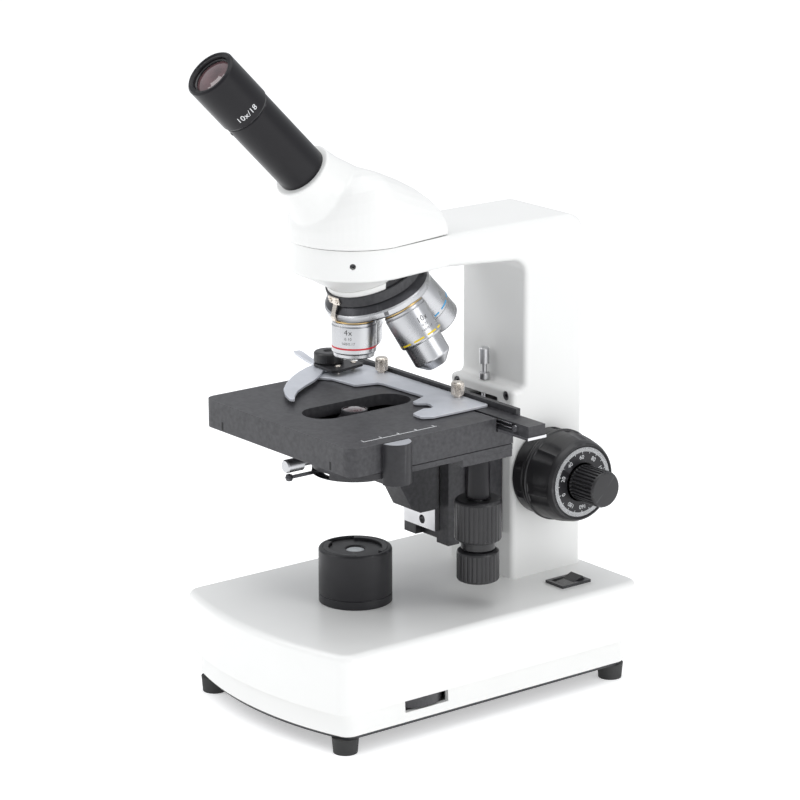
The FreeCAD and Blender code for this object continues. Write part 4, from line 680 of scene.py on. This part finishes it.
def make_focus_knobs():
    for sign in (1, -1):
        place = axis_frame(FOCUS, (sign, 0, 0), (0, 0, 1))
        name = "right" if sign > 0 else "left"
        pattern = knob_pattern(2, 14, 0.7, 1)
        profile = [(10, 38.4), (24.6, 38.4), (26.0, 38.9), (26.3, 39.8), (26.3, 41.2), (25.75, 41.6),
                   (25.6, 42.4), (25.6, 42.7), (25.3, 47), (24.7, 51.5), (23.7, 56.4), (23.6, 56.7),
                   (23.3, 58.0), (22.3, 60.2), (21.5, 60.9), (21.0, 60.6), (20.9, 60.0), (11.0, 60.0),
                   (11.0, 58)]
        knob = lathe(f"coarse_knob_{name}", profile, place, 0.2, 0, (pattern, 6, 42.5, 56.5, 20))
        settle(knob, PLASTIC, "coarse_drive", ["coarse_knobs"] if sign > 0 else [])
        pattern = [0, 0, 0.1, 0.8, 0.9, 0.8, 0.1]
        profile = [(3, 60.35), (9.6, 60.35), (10.2, 60.8), (10.3, 61.4), (10.5, 62.2), (10.55, 78.4),
                   (10.4, 79.2), (10.2, 79.3), (9.9, 80.0), (9.3, 80.5), (0, 80.5)]
        knob = lathe(f"fine_knob_{name}", profile, place, 0.15, 0, (pattern, 30, 62.1, 79.25, 10.3))
        settle(knob, PLASTIC, "fine_drive", ["fine_knobs"] if sign > 0 else [])
    make_dial()
    place = axis_frame(at(0, 114.3, 120.3), (1, 0, 0), (0, 0, 1))
    pattern = [0.0] * 16 + [0.8, 1.1, 1.1, 1.1, 0.8] + [0.0] * 2
    profile = [(14.05, 28.7), (24.4, 28.7), (25.0, 29.3), (25.0, 30.4), (25.0, 30.5), (25.0, 36.2),
               (25.0, 36.3), (24.6, 37.4), (23.8, 38.0), (14.05, 38.0)]
    ring = lathe("tension_collar", profile, place, 0.15, 0, (pattern, 9, 30.45, 36.25, 24.9))
    settle(ring, PLASTIC, "tension", ["tension_ring"])


def make_dial():
    place = axis_frame(FOCUS, (1, 0, 0), (0, 1, 0))
    disc = lathe("dial_disc", [(11.2, 59.6), (11.2, 60.35), (19.6, 60.35), (20.6, 60.25), (20.75, 59.6)],
                 place, 0.15, 128)
    settle(disc, SATIN, "coarse_drive")
    builder = bmesh.new()
    for number in range(200):
        angle = math.radians(number * 1.8)
        length = 3.4 if number % 10 == 0 else 2.4
        outer, half = 20.0, 0.14
        across = Vector((-math.sin(angle), math.cos(angle), 0))
        out = Vector((math.cos(angle), math.sin(angle), 0))
        corners = [out * (outer - length) - across * half, out * outer - across * half,
                   out * outer + across * half, out * (outer - length) + across * half]
        low = [builder.verts.new((c.x, c.y, 60.3)) for c in corners]
        high = [builder.verts.new((c.x, c.y, 60.42)) for c in corners]
        builder.faces.new(high)
        builder.faces.new(low[::-1])
        for i in range(4):
            j = (i + 1) % 4
            builder.faces.new((low[i], low[j], high[j], high[i]))
    ticks = make_object("dial_ticks", builder, place)
    settle(ticks, INK_WHITE, "coarse_drive")
    for number in range(10):
        angle = math.radians(200 - 36 * number)
        spot = place @ Vector((14.4 * MM * math.cos(angle), 14.4 * MM * math.sin(angle), 60.36 * MM))
        out = (place.to_3x3() @ Vector((math.cos(angle), math.sin(angle), 0))).normalized()
        side = out.cross(Vector((1, 0, 0))) * -1
        matrix = Matrix.Translation(spot) @ Matrix((-side,
                                                    -out * -1, Vector((1, 0, 0)))).transposed().to_4x4()
        label = lettering(f"dial_number_{number}", str(number * 20), 3.4, matrix, 0.04, 1.0)
        settle(label, INK_WHITE, "coarse_drive")


# ---------------------------------------------------------------- stage controls

def make_stage_controls():
    place = Matrix.Translation(at(*DRIVE, 0))
    ribs = [0, 0, 0, 0, 0.3, 0.45, 0.3]
    upper = lathe("y_knob", [(3.1, 92.4), (9.0, 92.4), (9.6, 92.9), (9.6, 97.4), (11.8, 97.6), (12.8, 98.2),
                             (13.15, 98.8), (13.2, 99.2), (13.2, 119.4), (13.15, 119.6), (12.9, 120.4),
                             (12.0, 121.2), (6.9, 121.2), (6.9, 120.6), (3.1, 120.6)], place, 0.15, 0,
                  (ribs, 30, 99, 119.5, 13))
    settle(upper, PLASTIC, "y_drive", ["stage_y_knob"])
    lower = lathe("x_knob", [(0, 74.2), (10.4, 74.2), (11.4, 74.7), (11.85, 75.4), (11.9, 75.9),
                             (11.9, 90.2), (11.85, 90.4), (11.6, 91.2), (10.6, 91.9), (9.9, 92.0),
                             (3.0, 92.0)], place, 0.15, 0, (ribs, 27, 75.6, 90.3, 11.7))
    settle(lower, PLASTIC, "x_drive", ["stage_x_knob"])
    stem = lathe("x_shaft", [(0, 91.5), (2.98, 91.5), (2.98, 143.5), (0, 143.5)], place, 0.2, 48)
    settle(stem, STEEL, "x_drive")


def bent_strip(name, path, width, thickness):
    """A springy strip that follows (x, y, z) points, swept flat."""
    builder = bmesh.new()
    rings = []
    points = [Vector(p) for p in path]
    for i, p in enumerate(points):
        ahead = points[min(i + 1, len(points) - 1)] - points[max(i - 1, 0)]
        side = Vector((-ahead.y, ahead.x, 0)).normalized()
        half = width * 0.5 * (0.75 if i == len(points) - 1 else 1.0)
        ring = [p - side * half, p + side * half, p + side * half + Vector((0, 0, thickness)),
                p - side * half + Vector((0, 0, thickness))]
        rings.append([builder.verts.new(c) for c in ring])
    for first, second in zip(rings, rings[1:]):
        for i in range(4):
            j = (i + 1) % 4
            builder.faces.new((first[i], first[j], second[j], second[i]))
    builder.faces.new(rings[0][::-1])
    builder.faces.new(rings[-1])
    item = make_object(name, builder, Matrix.Translation(at(0, 0, 0)), 40)
    add_bevel(item, 0.3)
    return item


def make_slide_holder():
    low, high = 171.25, 172.7
    outline = [(-82, 36), (-77, 26), (-66, 22), (-60, 15), (-50.5, 22.5), (-31, 24.3), (-27.5, 37.2),
               (-24, 38.4), (11.5, 39.7), (15.5, 31), (16.8, 27.4), (20.5, 26.6), (24.5, 31.5), (27.5, 31.5),
                (32.5, 29.5), (33.5, 26.5), (31.5, 23.5), (36.0, 12.4), (40.5, 11.6), (45.0, 11.8),
               (47.9, 17.5), (47.9, 43), (47.9, 56.4), (30, 56.5), (-60, 56.5), (-80, 46)]
    plate = slab("slide_holder_plate", outline, low, high, Matrix.Translation(at(0, 0, 0)), 0.25, 2.2)
    settle(plate, SILVER, "x_carriage", ["slide_holder"])
    for i, x in enumerate((-43.8, 24.7)):
        place = Matrix.Translation(at(x, 53.0, 172.7))
        knurl = [0, 0.0, 0.28, 0.28]
        screw = lathe(f"thumb_screw_{i}", [(0, 0), (2.2, 0), (2.2, 0.9), (2.9, 1.1), (3.5, 1.4), (3.65, 1.8),
                                           (3.65, 7.7), (3.4, 8.3), (2.9, 8.7), (0, 8.7)], place, 0.15, 0,
                      (knurl, 24, 1.7, 7.75, 3.6))
        settle(screw, NICKEL, "x_carriage", ["thumb_screws"] if i == 0 else [])
    level = 175.0
    mount = slab("finger_mount_plate", [(-77, 33), (-72, 25.5), (-53, 24), (-50.2, 27), (-53.5, 47),
                                        (-56, 48.6), (-62, 48), (-75, 40)], level, level + 1.6,
                 Matrix.Translation(at(0, 0, 0)), 0.2, 1.5)
    settle(mount, SATIN, "x_carriage", ["finger_mount"])
    place = Matrix.Translation(at(-68.6, 34, 0))
    cap = lathe("finger_cap", [(0, 174.9), (4.0, 174.9), (4.0, 176.6), (8.0, 176.7), (8.55, 177.3),
                               (8.6, 182.2), (8.0, 183.0), (7.2, 183.3), (3.3, 183.3), (3.0, 182.9),
                               (2.9, 182.5), (0, 182.5)], place, 0.3, 0, ([0, 0, 0.12, 0.2, 0.12], 40, 177.4,
                                                                           182.0, 8.55))
    settle(cap, PLASTIC, "x_carriage")
    # The cap's slot is a thin near-black strip on the recess floor: painted shade in place of a cut slot.
    slot = block("finger_cap_slot_shade", (-2.4, -0.45, 182.4), (2.4, 0.45, 182.6),
                 place @ Matrix.Rotation(math.radians(35), 4, "Z"), 0.05)
    settle(slot, SCREW_BLACK_AND_SLOT_SHADE, "x_carriage")
    post = lathe("finger_post", [(0, 172.7), (3.95, 172.7), (3.95, 175.1), (0, 175.1)], place, 0.1, 48)
    settle(post, STEEL, "x_carriage")
    for i, (x, y) in enumerate(((-57.7, 32.3), (-59.3, 44.6))):
        rivet = lathe(f"mount_rivet_{i}", [(0, -4.0), (1.2, -4.0), (1.2, 0), (1.7, 0.1), (1.5, 0.6),
                                           (0.8, 0.9), (0, 1.0)], Matrix.Translation(at(x, y, level + 1.55)),
                       0.1, 32)
        settle(rivet, NICKEL, "x_carriage")

    blade = [(-62.0, 29), (-63.2, 26.5), (-55.0, 17.5), (-48.5, 9.0), (-42.0, -2.5), (-35.5, -12.5),
             (-27.5, -20.5), (-22.6, -24.0), (-22.4, -25.6), (-25.0, -26.2), (-33.0, -23.0), (-43.5, -16.5),
             (-53.0, -7.5), (-61.5, 2.5), (-68.0, 12.0), (-73.0, 21.0), (-75.6, 28), (-75.6, 34), (-72, 39.5),
             (-66, 39.5), (-62, 35)]
    finger = slab("finger_blade", blade, 173.05, 174.6, Matrix.Translation(at(0, 0, 0)), 0.25, 2.0)
    settle(finger, SILVER, "finger", ["spring_finger"])
    tail = bent_strip("finger_tail", [(-72.5, 33.5, 173.1), (-77.5, 33.0, 173.1), (-81.5, 32.5, 173.3),
                                      (-85.5, 31.8, 174.3), (-89.5, 31.2, 175.6), (-93.5, 31.6, 176.3),
                                      (-97.6, 32.6, 176.5)], 5.6, 1.3)
    settle(tail, SILVER, "finger")


def make_scales():
    """White scale line and its ticks on the stage's right margin."""
    line = block("stage_scale_line", (58.7, -39.2, 170.75), (59.3, 10.6, STAGE_TOP + 0.04),
                 Matrix.Translation(at(0, 0, 0)), 0)
    marks = [line]
    for i in range(5):
        y = -38.6 + 12.0 * i
        marks.append(block(f"stage_scale_tick_{i}", (56.2, y - 0.3, 170.75),
                           (59.0, y + 0.3, STAGE_TOP + 0.04), Matrix.Translation(at(0, 0, 0)), 0))
    for item in marks:
        settle(item, INK_WHITE, "y_table")


# ---------------------------------------------------------------- lamp

def make_lamp():
    place = Matrix.Translation(at(0, 0, 59.2))
    tube = lathe("lamp_tube", [(15.2, 0), (20.6, 0), (20.6, 4.6), (20.25, 4.75), (20.1, 4.95), (20.25, 5.15),
                               (20.6, 5.3), (20.6, 30.0), (20.0, 31.0), (18.4, 31.2), (18.0, 30.6),
                               (18.0, 28.2), (15.2, 28.2)], place, 0.3, 128)
    settle(tube, SATIN, "stand", ["lamp_housing"])
    cap = lathe("lamp_cover", [(15.4, 22.0), (15.4, 26.0), (17.9, 28.4), (17.9, 29.3), (17.2, 29.8),
                               (6.4, 29.8), (5.6, 29.6), (5.2, 29.1), (5.2, 24)], place, 0.3, 128)
    settle(cap, SATIN, "stand", ["lamp_cap"])
    for start in (20, 200):
        builder = bmesh.new()
        rings = []
        steps = 30
        for i in range(steps + 1):
            angle = math.radians(start + 125 * i / steps)
            cosine, sine = math.cos(angle), math.sin(angle)
            rings.append([builder.verts.new((r * cosine, r * sine, h))
                          for r, h in ((15.0, 29.6), (18.2, 29.6), (18.2, 31.2), (15.0, 31.2))])
        for first, second in zip(rings, rings[1:]):
            for i in range(4):
                j = (i + 1) % 4
                builder.faces.new((first[i], first[j], second[j], second[i]))
        builder.faces.new(rings[0][::-1])
        builder.faces.new(rings[-1])
        rim = make_object(f"lamp_rim_{start}", builder, place, 40)
        add_bevel(rim, 0.3)
        settle(rim, SATIN, "stand")
    window = lathe("lamp_window", [(0, 29.3), (3.5, 29.2), (5.1, 28.9), (5.2, 26)], place, 0, 64)
    settle(window, FROST, "stand", ["field_lens"])


# ---------------------------------------------------------------- stage layers

def stage_plan(left, right, front, back, corner):
    """Plan of a stage layer with its two front corners rounded."""
    plan = []
    for x, start in ((left + corner, 180), (right - corner, 270)):
        for step in range(9):
            angle = math.radians(start + 90 * step / 8)
            plan.append((x + corner * math.cos(angle), front + corner + corner * math.sin(angle)))
    return plan + [(right, back), (left, back)]


def make_stage_layers():
    """Thin fixed layer with a thick block behind, the vernier post, the drive tube, and the front slots as
    near-black strips of painted shade.
    """
    here = Matrix.Translation(at(0, 0, 0))
    layer = slab("stage_fixed_layer", stage_plan(-60, 67.6, -47, 57, 14), 151.4, 154.6, here, 0.3,
                 holes=[circle(0, 0, 20, 64)])
    settle(layer, CRINKLE, "stage_lift", ["stage_base"])
    thick = block("stage_rear_block", (-60, 22, 147.35), (67.4, 57, 151.6), here, 0.4)
    settle(thick, CRINKLE, "stage_lift")
    post_plan = [(68.5 + 8.9 * math.cos(math.radians(a)), -25 + 8.9 * math.sin(math.radians(a)))
                 for a in range(-90, 91, 6)]
    post = slab("vernier_post", post_plan, 148.2, 170.9, here, 0.25)
    settle(post, SATIN, "stage_lift")
    cap_plan = [(68.7 + 8.3 * math.cos(math.radians(a)), -25 + 8.3 * math.sin(math.radians(a)))
                for a in range(-88, 89, 6)]
    cap = slab("vernier_scale", cap_plan, 170.7, 171.0, here, 0.08)
    settle(cap, VERNIER, "stage_lift")
    root = block("vernier_root", (58, -33, 148.4), (68.6, -17, 154.5), here, 0.3)
    settle(root, CRINKLE, "stage_lift")
    tube = lathe("stage_drive_tube", [(3.2, 121.7), (6.3, 121.7), (6.6, 122.1), (6.6, 147.6), (3.2, 147.6)],
                 Matrix.Translation(at(*DRIVE, 0)), 0.2, 64, closed=True)
    settle(tube, TURNED, "stage_lift")
    # The front slots are thin near-black strips on the front face: painted shade in place of cut slots.
    for number, x in enumerate((-49.5, 49.5)):
        slot = block(f"stage_front_slot_shade_{number}", (x - 0.9, -54.14, 155.8), (x + 0.9, -53.8, 160.4), here,
                     0.1)
        settle(slot, SCREW_BLACK_AND_SLOT_SHADE, "y_table")


# ---------------------------------------------------------------- scene

def add_area(name, where, target, size, power):
    data = bpy.data.lights.new(name, "AREA")
    data.shape = "RECTANGLE"
    data.size, data.size_y = size
    data.energy = power
    item = bpy.data.objects.new(name, data)
    bpy.context.scene.collection.objects.link(item)
    item.location = where
    item.rotation_mode = "QUATERNION"
    item.rotation_quaternion = (Vector(where) - Vector(target)).to_track_quat("Z", "Y")


CAMERA_PLACE = (1404.66, -1070.88, 659.28)      # millimetres from the optical axis and the floor
CAMERA_TURN = (74.6514, 0.1021, 51.8382)        # degrees
CAMERA_LENS, SENSOR = 149.85, 36                # millimetres
WORLD_STRENGTH = 0.68
FLOOR_SIZE = 6000                               # millimetres, half the side
LIGHTS = [("key", (-0.9, -1.3, 1.5), (0, 0, 0.15), (1.2, 1.2), 10),
          ("side", (1.7, 0.5, 0.9), (0, 0, 0.15), (1.0, 1.4), 9),
          ("top", (0.1, 0.0, 1.9), (0, 0, 0), (1.6, 1.6), 12)]


def make_studio():
    scene = bpy.context.scene
    data = bpy.data.cameras.new("camera")
    data.sensor_width = SENSOR
    data.lens = CAMERA_LENS
    data.clip_start, data.clip_end = 0.05, 20
    camera = bpy.data.objects.new("camera", data)
    scene.collection.objects.link(camera)
    camera.location = at(*CAMERA_PLACE)
    camera.rotation_euler = [math.radians(v) for v in CAMERA_TURN]
    scene.camera = camera
    world = bpy.data.worlds.new("studio")
    world.use_nodes = True
    world.node_tree.nodes["Background"].inputs["Color"].default_value = (0.95, 0.97, 1.0, 1)
    world.node_tree.nodes["Background"].inputs["Strength"].default_value = WORLD_STRENGTH
    scene.world = world
    scene.view_settings.view_transform = "Standard"
    for light in LIGHTS:
        add_area(*light)
    builder = bmesh.new()
    bmesh.ops.create_grid(builder, x_segments=2, y_segments=2, size=FLOOR_SIZE)
    floor = make_object("floor", builder, Matrix.Identity(4))
    paper = finish_material("floor_paper", (0.88, 0.88, 0.88), 0.8, vary=0.005, vary_scale=2,
                            grain_scale=400, grain_depth=0.01, Emission_Color=(1, 1, 1, 1),
                            Emission_Strength=0.42)
    floor.data.materials.append(paper)


make_head()
make_tube()
make_turret()
make_click_clip()
make_objectives()
make_focus_knobs()
make_stage_controls()
make_slide_holder()
make_scales()
make_lamp()
make_stage_layers()
make_studio()

bpy.context.view_layer.update()
